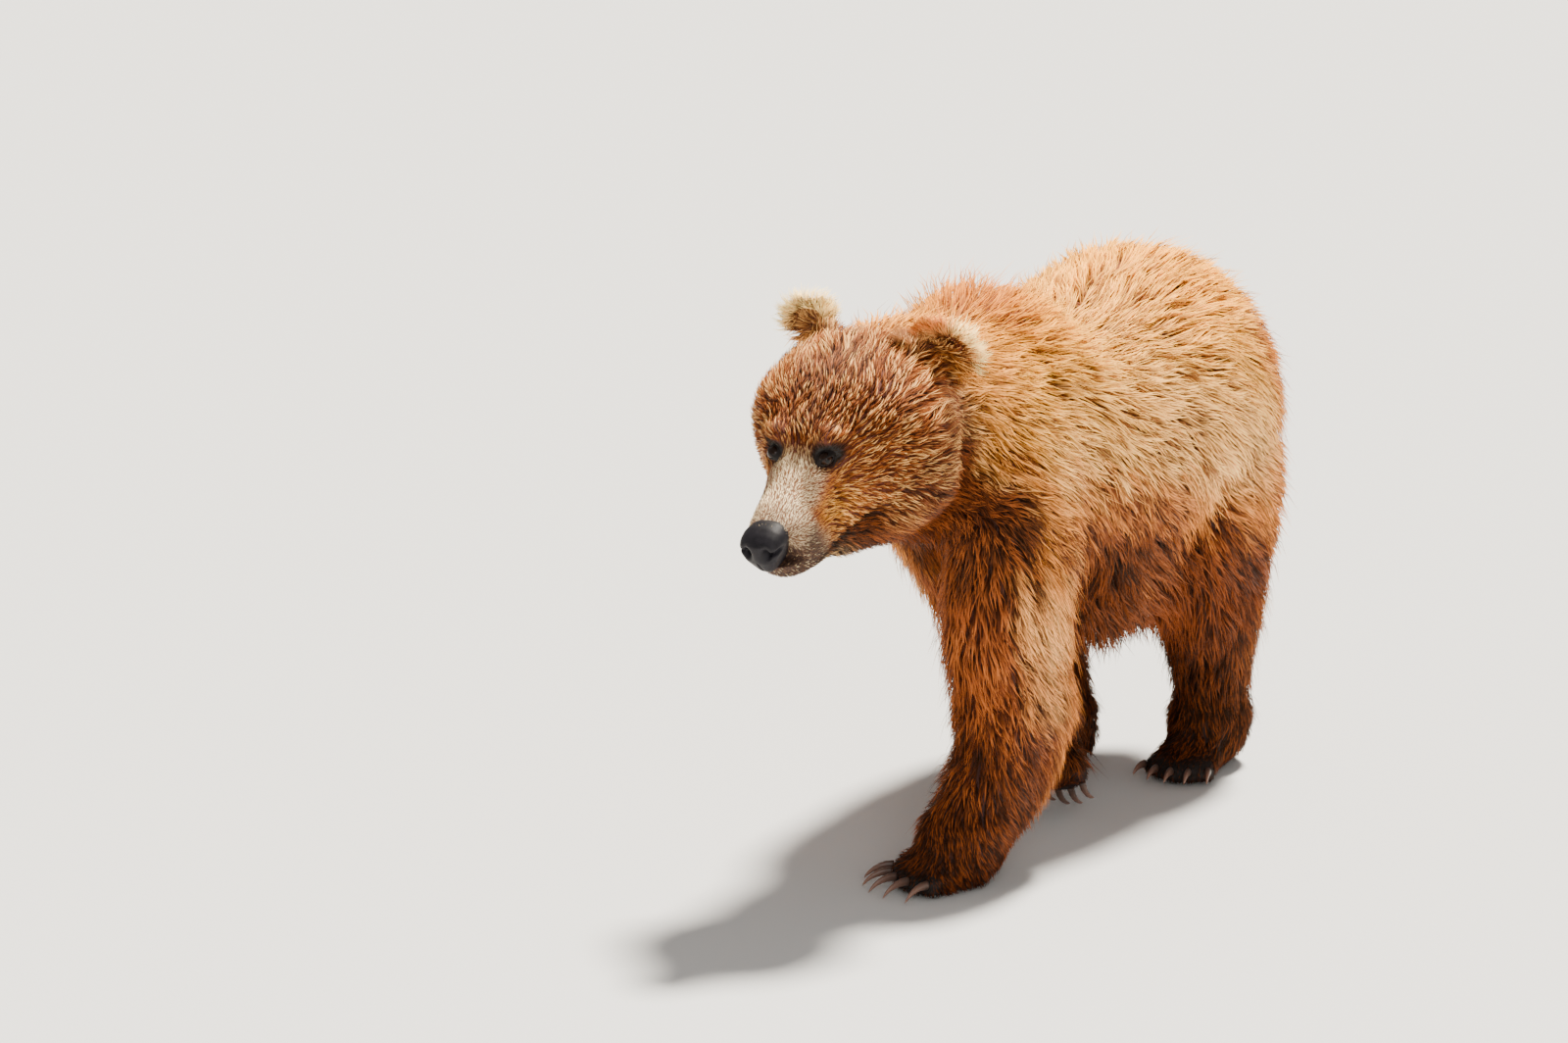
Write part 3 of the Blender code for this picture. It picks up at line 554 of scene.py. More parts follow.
# %% The head and the ears
def face_colour(points, here, noise):
    """Tawny, rust on cheeks and forehead, a pale muzzle with dark lips, and a sandy cheek spot."""
    ahead, left, above = here.T
    _, fleck, fine, _ = noise
    bridge = ramp(ahead + 0.006 * fleck, 0.190, 0.225) * ramp(left, 0.056, 0.034)
    bridge = np.maximum(bridge, ramp(ahead + 0.006 * fleck, 0.268, 0.298) * ramp(above, -0.060, -0.030))
    speckle = ramp(ahead + 0.010 * fine, 0.275, 0.330) * 0.65
    lips = ramp(ahead + 0.004 * fleck, 0.268, 0.298) * ramp(above + 0.006 * fleck, 0.030, -0.006)
    return layered(
        all_over(TAWNY, points),
        (HONEY, ramp(above + 0.012 * fleck, 0.11, 0.17) * 0.15),
        (RUST, ramp(above + 0.015 * fleck, 0.06, -0.02) * ramp(ahead, 0.20, 0.12) * 0.75),
        # Painted shade behind the jaw, low at the back of the head.
        (UMBER, near(here, (0.10, 0.11, -0.085), (0.10, 0.10, 0.05)) * 0.35),
        (RUST, near(here, (0.180, 0.0, 0.110), (0.070, 0.040, 0.060)) * 0.65),
        (RUST, near(here, (0.090, 0.0, 0.150), (0.140, 0.130, 0.090)) * 0.60),
        (mix(HONEY, BLOND, 0.6), near(here, (0.245, 0.070, 0.005), (0.060, 0.050, 0.055)) * 0.95),
        (CHESTNUT, ramp(above + 0.01 * fleck, -0.060, -0.100) * 0.85),
        (GREY, np.clip(bridge, 0, 1) * 0.95),
        (LIP, np.maximum(speckle, lips * 0.95)),
        (UMBER, ramp(above, -0.030, -0.052) * ramp(ahead, 0.12, 0.20) * 0.9),
        (SOOT, bell(over_lips(here), 0.0065) * ramp(ahead, 0.15, 0.20) * 0.9),
    )


EAR_COLOURS = {  # the base, the colour above the root, how dark the hollow is, and where the rim starts
    "left": (CHESTNUT, TAWNY, 0.8, (0.036, 0.046), (-0.016, 0.004)),
    "right": (TAWNY, SAND, 0.2, (0.028, 0.038), (-1.0, -0.9)),
}


def with_ears(colour, points, skull, fleck):
    """Ears laid over a colour: a pale rim, a dark hollow, and honey on the back."""
    for side, (base, upper, dark, far, outer) in EAR_COLOURS.items():
        place = ear_frame(skull, side)
        forward, out, rise = place.T
        rim = ramp(np.hypot(out, rise) + 0.003 * fleck, *far) * ramp(out, *outer)
        ear = layered(
            all_over(base, points),
            (upper, ramp(rise, -0.01, 0.02)),
            (UMBER, ramp(rise, 0.02, -0.01) * ramp(forward, 0.0, 0.012) * dark),
            (HONEY, ramp(forward, -0.004, -0.016) * 0.9),
            (CREAM, rim * 0.95),
        )
        colour = mix(colour, ear, on_disc(place, (-0.012, 0.010), (0.052, 0.038)))
    return colour


# %% All of it together
def markings(points, facing):
    """The colour of the coat's outer half, from heights, distances and the way the body's form faces."""
    x, y, z = points.T
    skull = to_skull(points)
    here = both_sides(skull)
    broad, fleck = ripple(points, 0.30, 3), ripple(points * (1, 1, 0.55), 0.070, 4)
    fine, drip = ripple(points, 0.024, 9), ripple(points * (1, 1, 0.22), 0.026, 12)
    noise = broad, fleck, fine, drip
    elbow = mix(0.17, -0.08, ramp(x, -0.03, 0.06)) + 0.015 * fleck
    fore = ramp(y - elbow, 0.05, -0.05) * ramp(z + 0.02 * drip, 0.58, 0.48)
    hind = ramp(z + 0.02 * broad, 0.54, 0.40) * ramp(y, 0.20, 0.32)
    colour = layered(
        trunk_colour(points, facing, noise),
        (front_leg_colour(points, facing, noise), fore),
        # Painted shade under the head: umber on the chest between the front legs.
        (UMBER, near(points, (0.0, -0.26, 0.55), (0.13, 0.20, 0.17)) * 0.85),
        (hind_leg_colour(points, noise), hind),
        (face_colour(points, here, noise), head_share(skull)),
    )
    colour = layered(
        with_ears(colour, points, skull, fleck),
        (SOOT, eye_patch(here)),
        (SOOT, toe_share(points) * ramp(z, 0.085, 0.03) * 0.85),
    )
    return colour * (1 + 0.10 * broad + 0.05 * fine)[:, None].clip(0.5, 1.5)


print("blond", BLOND.round(3), "umber", UMBER.round(3))

# %% [markdown]
# ## The coat
# Particle hair would be lost when the model is exported, so every tuft is a small closed solid: a thin
# three-sided spike, bent along its length. It grows from a point scattered on the skin, follows the lie
# of the coat there, and leans towards the middle of its lock, which is what makes wet-looking clumps.

# %% Scatter roots on the skin
def per_area(points):
    """Tufts for each square metre of skin."""
    skull = to_skull(points)
    return layered(
        33_000.0,
        (41_000, leg_share(points)),
        (75_000, paw_share(points)),
        (92_000, head_share(skull)),
        (210_000, muzzle_share(skull)),
        (240_000, ear_share(skull)),
    )


corners = get(skin.data, "vertices", "co")
bend = get(skin.data, "vertices", "normal")
calm = bend.copy()
thin_edges = get(skin.data, "edges", "vertices", 2)
for _ in range(60):
    calm = unit(neighbour_mean(calm, thin_edges, len(calm)) + 0.3 * calm)
skin.data.calc_loop_triangles()
faces = get(skin.data, "loop_triangles", "vertices")
first, second, third = (corners[faces[:, number]] for number in range(3))
area = np.linalg.norm(np.cross(second - first, third - first), axis=1) / 2
THINNED = 1.0
total = (area * per_area(corners[faces].mean(axis=1))).cumsum() * THINNED
picks = np.searchsorted(total, np.arange(0.5, total[-1]))
random = np.random.default_rng(11)
u, v = random.random((2, len(picks)))
fold = u + v > 1
u, v = np.where(fold, 1 - u, u), np.where(fold, 1 - v, v)
blend = columns(1 - u - v, u, v)[..., None]
roots = (corners[faces[picks]] * blend).sum(axis=1)
upright = unit((bend[faces[picks]] * blend).sum(axis=1))
form = unit((calm[faces[picks]] * blend).sum(axis=1))
skull = to_skull(roots)
bald = near(skull, (0.356, 0.0, 0.012), (0.030, 0.040, 0.038)) > 0.20
bald |= (((both_sides(skull) - EYE) / (0.0135, 0.0135, 0.0115)) ** 2).sum(axis=1) < 1
bald |= (upright[:, 2] < -0.8) & (roots[:, 2] < 0.05)
roots, upright, form = roots[~bald], upright[~bald], form[~bald]
print("roots:", len(roots), clock())

# %% [markdown]
# ## The lie of the coat
# Fur lies back from the nose, parts round the eyes, runs back and down over the body, and straight down
# the legs. Combing guide hairs by hand would fix it for one shape only. Here each region wishes for a way,
# the wishes are mixed by the shares of the regions, and the result is laid flat on the skin.

# %% The lie of the coat on the head
DOWN, BACK = np.array((0, 0, -1.0)), np.array((0, 1.0, 0))


def head_flow(skull):
    """The lie on the head, in the skull's axes: back from the nose, round the eyes, up on the ears."""
    ahead, left, above = skull.T
    here, side = both_sides(skull), np.sign(left)
    sink = -0.55 * ramp(above, 0.10, -0.06) - 0.60 * ramp(ahead, 0.10, -0.02) * ramp(above, 0.13, 0.02)
    flat = unit(columns(-1, side * 0.25 * ramp(np.abs(left), 0.01, 0.06), sink))
    fan = unit(columns(ahead - 0.235, left * 1.1, above - 0.085))
    crown = ramp(above, 0.085, 0.13) * ramp(ahead, 0.17, 0.10)
    flat = layered(
        flat,
        (fan, near(skull, (0.15, 0, 0.13), (0.10, 0.13, 0.07)) * 0.8),
        (columns(-0.8, side * 0.15, 0.9), crown * 0.6),
        (columns(-0.7, side * 0.1, -0.9), ramp(above, -0.04, -0.09)),
    )
    from_eye = unit(here - EYE - (0.014, -0.006, -0.008)) * columns(1, side, 1)
    flat = mix(unit(flat), from_eye, near(here, EYE, (0.050, 0.046, 0.042)) * 0.85)
    for name in EAR:
        place = ear_frame(skull, name)
        spread = columns(-0.15, place[:, 1] * 26, 0.45 + place[:, 2] * 6)
        flat = mix(flat, unit(spread @ EAR_AXES[name]), on_disc(place))
    return flat


# %% The lie of the coat everywhere
def flow(points, normals, broad):
    """The way the fur lies at each place: a wish for each region, laid flat on the skin.

    It is laid on the broad form first, so that a small bump doesn't make a whorl, and then on the skin.
    """
    x, y, z = points.T
    skull = to_skull(points)
    outward = columns(np.sign(x), 0, 0)
    back = BACK * ramp(broad[:, 1], -0.80, -0.25)[:, None]
    drop = mix(0.10, 1.25, ramp(z + 0.03 * ripple(points, 0.25, 21), 0.95, 0.62))
    nape = mix(0.2, 1.3, ramp(z, 0.92, 0.66))
    wish = layered(
        back + DOWN * drop[:, None] + outward * 0.25,
        (DOWN + back * 0.35, ramp(z, 0.50, 0.34)),
        (DOWN * 1.2 + back * 0.6, ramp(y, 0.62, 0.78)),
        (DOWN + back * 0.30, ramp(z, 0.62, 0.50) * ramp(y, 0.20, 0.08)),
        (DOWN + back * 0.15, leg_share(points)),
        (DOWN * 0.7 - back * 0.9, paw_share(points)),
        (back * 0.8 + DOWN * nape[:, None] + outward * 0.2, ramp(y, -0.15, -0.30)),
    )
    head = head_share(skull)
    wish = mix(unit(wish), head_flow(skull) @ SKULL.T, head)
    sway = ripple(points, 0.16, 31) * 0.20 + ripple(points, 0.055, 32) * (0.16 + 0.14 * head)
    wish = unit(wish) + np.cross(broad, unit(wish)) * sway[:, None]
    for surface in (broad, normals):
        wish = unit(wish - surface * (wish * surface).sum(axis=1, keepdims=True))
    return wish


lie = flow(roots, upright, form)
print("lie of the coat", clock())

# %% [markdown]
# ## Locks
# Guard hairs cling together in locks, short and fine on the face and long on the flanks. Without them fur
# looks like a brush. A tuft belongs to the nearest of some scattered points, and is drawn to the middle
# line of that lock; its length, its thickness and how upright it stands come from its region.

# %% Find the lock of each tuft
SCRAMBLE = (73856093, 19349663, 83492791)


def locks(points, ways, wide, long, seed):
    """The lock of each tuft: the nearest of the jittered points of a lattice.

    A gap l along the lie counts long times less than one across it, a^2 + (l / long)^2, so the locks are
    narrow bands that follow the coat. Gives the way across to the lock's middle line, and its number. The
    jitter of a lattice point is a fixed scramble of its whole-number place.
    """
    cell = wide * long ** (1 / 3)
    base = np.floor(points / cell).astype(np.int64)
    best, across, number = np.full(len(points), 1e9), np.zeros_like(points), np.zeros(len(points))
    for step in np.ndindex(5, 5, 5):
        cells = base + np.array(step) - 2
        mixed = ((cells * SCRAMBLE).sum(axis=1) + seed * 7919) % 100003
        jitter = columns(*(np.modf(np.sin(mixed * k) * 43758.5453)[0] for k in (1.17, 2.31, 3.73)))
        gap = (cells + 0.5 + 0.5 * jitter) * cell - points
        along = (gap * ways).sum(axis=1)
        size = (gap**2).sum(axis=1) - along**2 * (1 - 1 / long**2)
        closer = size < best
        best, number = np.where(closer, size, best), np.where(closer, np.abs(jitter[:, 0]), number)
        across = np.where(closer[:, None], gap - ways * along[:, None], across)
    return across, number


# %% How long, thick and upright the tufts are
skull = to_skull(roots)
here = both_sides(skull)
HEAD, MUZZLE, EARS = head_share(skull), muzzle_share(skull), ear_share(skull)
LEGS, PAWS, TOES = leg_share(roots), paw_share(roots), toe_share(roots)
BODY, FACE = 1 - HEAD, HEAD * (1 - EARS)
chance = random.random((6, len(roots)))
facing_down, ahead, behind, high = upright[:, 2], skull[:, 0], roots[:, 1], roots[:, 2]
belly = ramp(high, 0.46, 0.36) * ramp(np.abs(behind - 0.12), 0.34, 0.26)
fringe = ramp(facing_down, -0.25, -0.75) * ramp(high, 0.54, 0.46) * ramp(behind, 0.06, 0.16) * (1 - LEGS)
loose = fringe * ramp(behind, 0.52, 0.42)
shag = ramp(form[:, 1], -0.3, 0.7) * ramp(high, 0.10, 0.16) * ramp(high, 0.40, 0.30) * (behind < 0.2)
ruff = near(here, (0.0, 0.14, -0.01), (0.10, 0.09, 0.15))
hump = near(roots, (0.0, -0.12, 0.97), (0.25, 0.22, 0.16))
eye_near = near(here, EYE, (0.040, 0.036, 0.034))
rims = np.zeros(len(roots))
for name in EAR:
    _, out, up_ear = ear_frame(skull, name).T
    rim = ramp(np.hypot(out, up_ear), 0.033, 0.042) * EARS * ramp(up_ear, -0.012, 0.008)
    rims = np.maximum(rims, rim)


def chin(lowest):
    """1 where the fur hangs from the jaw, from its edge down to lowest."""
    return FACE * ramp(skull[:, 2], -0.04, lowest) * ramp(ahead, 0.27, 0.19)


length = layered(
    0.060,
    (0.048, LEGS),
    (0.075, belly),
    (0.100, loose),
    (0.070, shag),
    (0.028, PAWS),
    (0.010, PAWS * TOES),
    (layered(0.019, (0.036, ramp(ahead, 0.16, 0.02)), (0.048, ramp(ahead, -0.02, -0.07))), HEAD),
    (0.056, 0.8 * ruff * (1 - EARS)),
    (0.0085, MUZZLE),
    (0.027, EARS),
    (0.035, rims),
    (0.046, chin(-0.08)),
)
length = length * (1 - 0.70 * eye_near) * (0.75 + 0.5 * chance[0])
width = layered(
    0.0031,
    (0.0024, LEGS),
    (0.0020, np.maximum(HEAD, PAWS)),
    (0.0012, np.maximum(MUZZLE, PAWS * TOES)),
    (0.0016, EARS),
)
width = width * (1 - 0.4 * eye_near) * (0.8 + 0.4 * chance[1])
depth = coat_depth(roots)
rise = layered(
    np.clip(depth / length * (0.40 + 0.60 * chance[2]), 0.05, 0.8),
    (0.45, shag),
    (0.70, rims),
    (0.55 + 0.3 * chance[2], chin(-0.09)),
    (0.45 + 0.4 * chance[2], loose),
)
print("tufts are", (length.min() * 1000).round(1), "to", (length.max() * 1000).round(1), "mm long")

# %% Gather the tufts into locks
# Half a lock's width, and its length over its width: on face and paws, on neck and legs, on the trunk.
LOCKS = ((0.0048, 5.5), (0.0076, 5.0), (0.0110, 4.5))
kind = np.where(np.maximum(HEAD, PAWS) > 0.5, 0, np.where((behind < -0.20) | (LEGS > 0.5), 1, 2))
toward, lock_number, apart = np.zeros_like(roots), np.zeros(len(roots)), np.zeros(len(roots))
for number, (wide, long) in enumerate(LOCKS):
    own = kind == number
    toward[own], lock_number[own] = locks(roots[own], lie[own], wide, long, 5 + number)
    toward[own] -= upright[own] * (toward[own] * upright[own]).sum(axis=1, keepdims=True)
    apart[own] = np.linalg.norm(toward[own], axis=1) / wide
ridge = ramp(apart, 0.50, 0.12)
gather = layered(0.62, (0.72, kind == 1), (0.88, HEAD), (0.40, MUZZLE), (0.10, EARS))
gather = gather * (0.75 + 0.35 * chance[3])
rise = rise * (0.75 + 0.35 * ridge)
rise = rise * (1 - 0.65 * ruff * (1 - EARS))
stray = (chance[3] > 0.95 - 0.25 * hump) & (kind > 0)
length, width = length * (1 + 0.30 * stray), width * (1 - 0.50 * stray)
tallest = depth + 0.013 + 0.030 * hump + 0.05 * np.maximum(fringe, EARS)
rise = np.minimum(np.clip(rise * (1 + 0.8 * stray), 0.05, 0.80), tallest / length)
print("tufts in each kind of lock:", np.bincount(kind), clock())

# %% Grow the tufts
GROUND = 0.0012  # no hair reaches lower
UNDER = 0.0015  # how deep a root sits in the skin
SEGMENTS = 2


def times(ways, amounts):
    """Each row's vector times each of its amounts."""
    return ways[:, None] * amounts[..., None]


def grow(chosen):
    """Points and triangles of the chosen tufts.

    A tuft's middle line leaves the root along the lie of the coat, climbs to the coat's depth as
    1 - (1 - t)^1.6, and is drawn to its lock's middle as t^1.5. Each ring is a flat triangle with its
    ridge outwards, and the last ring is one point.
    """
    t = np.linspace(0, 1, SEGMENTS + 1) ** 0.85
    ahead, out = lie[chosen], upright[chosen]
    side = np.cross(ahead, out)
    long, up = length[chosen][:, None], rise[chosen][:, None]
    bow = ((chance[4][chosen] - 0.5) * 0.12 + (lock_number[chosen] - 0.5) * 0.26)[:, None]
    sway = (chance[5][chosen] - 0.5)[:, None]
    path = roots[chosen][:, None] - out[:, None] * UNDER
    path = path + times(ahead, long * np.sqrt(1 - np.minimum(up, 0.95) ** 2) * t)
    path = path + times(out, long * up * (1 - (1 - t) ** 1.6))
    path = path + times(side, long * bow * np.sin(t * 3.1) + long * sway * 0.16 * t)
    path = path + times(toward[chosen], gather[chosen][:, None] * t**1.5)
    thick = (width[chosen][:, None] * np.interp(t, (0, 0.35, 0.7, 1), (0.8, 1.0, 0.7, 0.0)))[:, :-1, None]
    ring = path[:, :-1, None] + side[:, None, None] * (thick * (-0.5, 0.5, 0.0))[..., None]
    ring = ring + out[:, None, None] * (thick * (-0.12, -0.12, 0.32))[..., None]
    places = np.concatenate([ring.reshape(len(chosen), -1, 3), path[:, -1:]], axis=1)
    places[..., 2] = np.maximum(places[..., 2], GROUND)
    each = 3 * SEGMENTS + 1
    pattern = [(0, 1, 2)]
    for low in range(0, 3 * SEGMENTS - 3, 3):
        for one, two in ((0, 1), (1, 2), (2, 0)):
            pattern += [(low + one, low + 3 + one, low + two), (low + two, low + 3 + one, low + 3 + two)]
    low = 3 * (SEGMENTS - 1)
    pattern += [(low, each - 1, low + 1), (low + 1, each - 1, low + 2), (low + 2, each - 1, low)]
    triangles = (np.arange(len(chosen))[:, None, None] * each + np.array(pattern)).reshape(-1, 3)
    return places.reshape(-1, 3), triangles, np.append(np.repeat(t[:-1], 3), 1.0)


# %% [markdown]
# ## Light and dark hairs
# A grizzly's hairs are dark below and pale at the tips, and the locks part over dark gaps. One colour for
# each place would look like felt. So a tuft takes the markings' colour dimmed, plain or gilded, with some
# chance in it: gilded on the ridge of its lock as a painted highlight, dimmed at its edges as painted shade
# where the locks part. Ear rims and some tufts on the crest of the back also get a painted backlight.

# %% The colour of each tuft
tuft_colour = markings(roots, form)
bare = np.maximum(MUZZLE, eye_patch(here))
streaky = mix(np.maximum(0.74 + 0.17 * ramp(behind, -0.12, -0.26), 0.90 * LEGS), 1.0, HEAD)
streaky = mix(streaky, 0.75, ramp(high, 0.62, 0.52) * (1 - LEGS) * BODY) * (1 - bare)
dusk = FACE * near(skull, (0.10, 0.0, 0.12), (0.17, 0.17, 0.11))
# Painted light and shade on the locks: lit on a lock's ridge, shaded at its edges; the rest is random tone.
painted_light_and_tone = 0.60 * ridge + 0.45 * (lock_number - 0.5) + 0.45 * (chance[1] - 0.5)
painted_light_and_tone = painted_light_and_tone - 0.10 * dusk - 0.06 * LEGS - 0.04 * HEAD
# The share of pale hair: pale tips, the painted highlight on lock ridges, and on the ear rims a painted
# backlight.
pale = np.maximum(ramp(painted_light_and_tone, 0.75 * streaky - 0.30, 0.75 * streaky + 0.02), rims)
low_down = ramp(high, 0.66, 0.54) * BODY
deep = ramp(tuft_colour[:, 1] / tuft_colour[:, 0], 0.50, 0.30) * BODY
shade = ramp(tuft_colour.mean(axis=1), 0.12, 0.04)
gilt = layered(
    all_over(GILTS[0], roots),
    (GILTS[1], ramp(high, 0.80, 0.95) * BODY),
    (GILTS[2], np.maximum(low_down, deep)),
    (GILTS[3], shade),
)
clear = (1 - 0.60 * shade) * (1 - bare) * (1 - rims) * (1 - hump)
# Pale gilded hair, which also paints the highlight on lock ridges and the backlight on the ear rims.
pale_hair_and_highlight = mix(tuft_colour, gilt, (0.06 + 0.50 * streaky) * clear)
pale_hair_and_highlight = pale_hair_and_highlight * (1.48 - 0.10 * LEGS - 0.45 * hump)[:, None]
plain_hair = tuft_colour * (1.15 - 0.20 * streaky - 0.10 * LEGS)[:, None]
# Dark hair, which also paints the shade in the partings between locks.
dark_hair_and_shade = tuft_colour * (0.84 - 0.66 * streaky)[:, None] * (1.15, 0.76, 0.68)
lit = ramp(painted_light_and_tone, 0.40 * streaky - 0.30, 0.40 * streaky)
tuft_colour = layered(dark_hair_and_shade, (plain_hair, lit), (pale_hair_and_highlight, pale))
speck = MUZZLE * ramp(ahead + 0.5 * np.clip(-skull[:, 2], 0, 1), 0.27, 0.32)
tuft_colour = mix(tuft_colour, tuft_colour * 0.35, speck * (chance[1] < 0.35))
tuft_colour = mix(tuft_colour, GREY * 0.7, speck * (chance[1] > 0.92))
# Painted backlight: ear-rim tufts and some tufts on the crest of the back keep bright roots, as if lit from
# behind.
crest = ramp(high, 0.84, 0.93) * BODY * (chance[2] > 0.6)
painted_backlight = np.maximum(rims, 0.8 * crest)
print("pale tufts:", round(100 * float((pale > 0.5).mean())), "%")

# %% Pieces of the coat
PATCH = 0.003  # the size of a tuft on the bake map
BAKED = 0.98  # how much of the map an unwrap uses


def unwrapped(points, centre, axis, low, high):
    """An unwrap round an axis: the angle round it and the way along it, both from 0 to 1."""
    away = points - centre
    first, second = (number for number in range(3) if number != axis)
    angle = np.arctan2(away[:, second], away[:, first]) / (2 * math.pi) + 0.5
    return 0.01 + BAKED * columns(angle, np.clip((away[:, axis] - low) / (high - low), 0, 1))


def round_head(places):
    """The unwrap of the head's coat, round the skull's way ahead."""
    return unwrapped(to_skull(places), (0, 0, 0), 0, -0.13, 0.40)


def round_body(places):
    """The unwrap of the trunk's coat, round the body's length."""
    return unwrapped(places, (0, 0, 0.64), 1, -0.50, 0.86)


def round_leg(x, y):
    """An unwrap round an upright line at x and y."""
    return lambda places: unwrapped(places, (x, y, 0), 2, 0.0, 0.45)


def paint(mesh, colour):
    """Stores a colour for each point as the attribute "coat"."""
    put(mesh, "coat", "FLOAT_COLOR", np.column_stack([colour, np.ones(len(colour))]))


def coat_piece(name, slot, unwrap, chosen):
    """One mesh of tufts, with its colours, its lengthwise measure raised by painted backlight, and its bake
    map.
    """
    chosen = np.flatnonzero(chosen)
    places, triangles, along = grow(chosen)
    owner = np.repeat(np.arange(len(chosen)), len(along))
    piece = new_piece(name, places, triangles, slot)
    mesh = piece.data
    tint = 0.85 + 0.30 * chance[5][chosen]
    paint(mesh, (tuft_colour[chosen] * tint[:, None])[owner])
    # The root-to-tip measure, raised where the painted backlight keeps a root bright.
    put(mesh, "along", "FLOAT", np.maximum(np.tile(along, len(chosen)), 0.8 * painted_backlight[chosen][owner]))
    spot = np.tile(columns(along - 0.5, np.arange(len(along)) % 3 / 2 - 0.5), (len(chosen), 1))
    bake = unwrap(roots[chosen])[owner] + spot * PATCH
    layer = mesh.uv_layers.new(name="OFBake")
    layer.uv.foreach_set("vector", bake[triangles.ravel()].astype(np.float32).ravel())
    shell = get(mesh, "vertices", "normal")
    blended = unit(0.55 * shell + 0.50 * upright[chosen][owner] + 0.20 * lie[chosen][owner])
    mesh.normals_split_custom_set_from_vertices(blended.astype(np.float32))
    print(f"{name}: {len(chosen)} tufts, {len(triangles)} triangles")
    return piece


# %% Where one piece of the coat ends and the next starts
x, y, z = roots.T
is_head, to_left = HEAD > 0.5, skull[:, 1] > 0
is_ear = is_head & (EARS > 0.5)
is_face = is_head & ~is_ear & (ahead > 0.13)
is_skull = is_head & ~is_ear & ~is_face
is_tail = (y > 0.765) & (np.abs(x) < 0.06) & (z < 0.71) & ~is_head
is_leg = (z < 0.44) & ~is_head & ((np.abs(y - 0.12) > 0.12) | (z < 0.30))
is_neck = ~is_head & ~is_leg & (y < -0.15)
is_trunk = ~(is_head | is_tail | is_leg | is_neck)
fore = y < 0.20
left_leg = np.where(fore & (z < 0.32), y < -0.055, x > 0)
coat = [coat_piece(*row) for row in (
    ("coat_face_left", "coat_tawny", round_head, is_face & to_left),
    ("coat_face_right", "coat_tawny", round_head, is_face & ~to_left),
    ("coat_head_left", "coat_tawny", round_head, is_skull & to_left),
    ("coat_head_right", "coat_tawny", round_head, is_skull & ~to_left),
    ("coat_ear_left", "coat_tawny", round_head, is_ear & to_left),
    ("coat_ear_right", "coat_tawny", round_head, is_ear & ~to_left),
    ("coat_neck", "coat_tawny", round_body, is_neck),
    ("coat_trunk_front", "coat_gold", round_body, is_trunk & (y <= 0.12)),
    ("coat_trunk_middle", "coat_gold", round_body, is_trunk & (y > 0.12) & (y <= 0.42)),
    ("coat_trunk_rear", "coat_gold", round_body, is_trunk & (y > 0.42)),
    ("coat_tail", "coat_gold", round_body, is_tail),
    ("coat_front_leg_left", "coat_umber", round_leg(0.14, -0.26), is_leg & fore & left_leg),
    ("coat_front_leg_right", "coat_umber", round_leg(-0.04, 0.06), is_leg & fore & ~left_leg),
    ("coat_hind_leg_left", "coat_umber", round_leg(0.15, 0.52), is_leg & ~fore & left_leg),
    ("coat_hind_leg_right", "coat_umber", round_leg(-0.14, 0.40), is_leg & ~fore & ~left_leg),
)]
print("coat triangles:", sum(len(piece.data.polygons) for piece in coat), clock())

# %% [markdown]
# ## Eyes and lids
# A bear's eye is small, dark brown and wet, in a rim of bare black skin. A plain ball would look like a
# button, so the eye bulges at the cornea, has a pupil and an iris, and sits inside lids of its own: a
# closed band, swept round an almond, whose inner edge hugs the ball.

# %% The eyeballs
GAZE = unit(np.array((0.66, 0.70, 0.22)))
INNER_CORNER = unit(np.array((0.72, -0.70, 0.02)))
EYE_RADIUS = 0.0120
BALL_RINGS, BALL_ROUND = 40, 48


def eye_axes(side):
    """Centre of an eye, its outward way, the way to its inner corner, and up, in the world."""
    flip = np.array((1, side, 1))
    outward = SKULL @ (GAZE * flip)
    corner = SKULL @ (INNER_CORNER * flip)
    corner = unit(corner - outward * (corner @ outward))
    above = np.cross(outward, corner)
    return from_skull(EYE * flip), outward, corner, above * np.sign((SKULL.T @ above)[2])


def circle(count):
    """Angles of the points of a closed ring."""
    return np.linspace(0, 2 * math.pi, count, endpoint=False)


def grid_faces(rings, around, closed=False):
    """Quads of a grid of rings of points, joined round each ring, and the last to the first if closed."""
    index = np.arange(rings * around).reshape(rings, around)
    quads = np.stack([index, np.roll(index, -1, axis=1)], axis=-1)
    following = np.roll(quads, -1, axis=0)[..., ::-1]
    quads = np.concatenate([quads, following], axis=-1)
    return (quads if closed else quads[:-1]).reshape(-1, 4)


def close_ends(piece):
    """Closes the holes at the poles and turns all faces outwards."""
    body = bmesh.new()
    body.from_mesh(piece.data)
    bmesh.ops.holes_fill(body, edges=[edge for edge in body.edges if edge.is_boundary], sides=0)
    bmesh.ops.recalc_face_normals(body, faces=body.faces[:])
    body.to_mesh(piece.data)
    body.free()
    piece.data.shade_smooth()


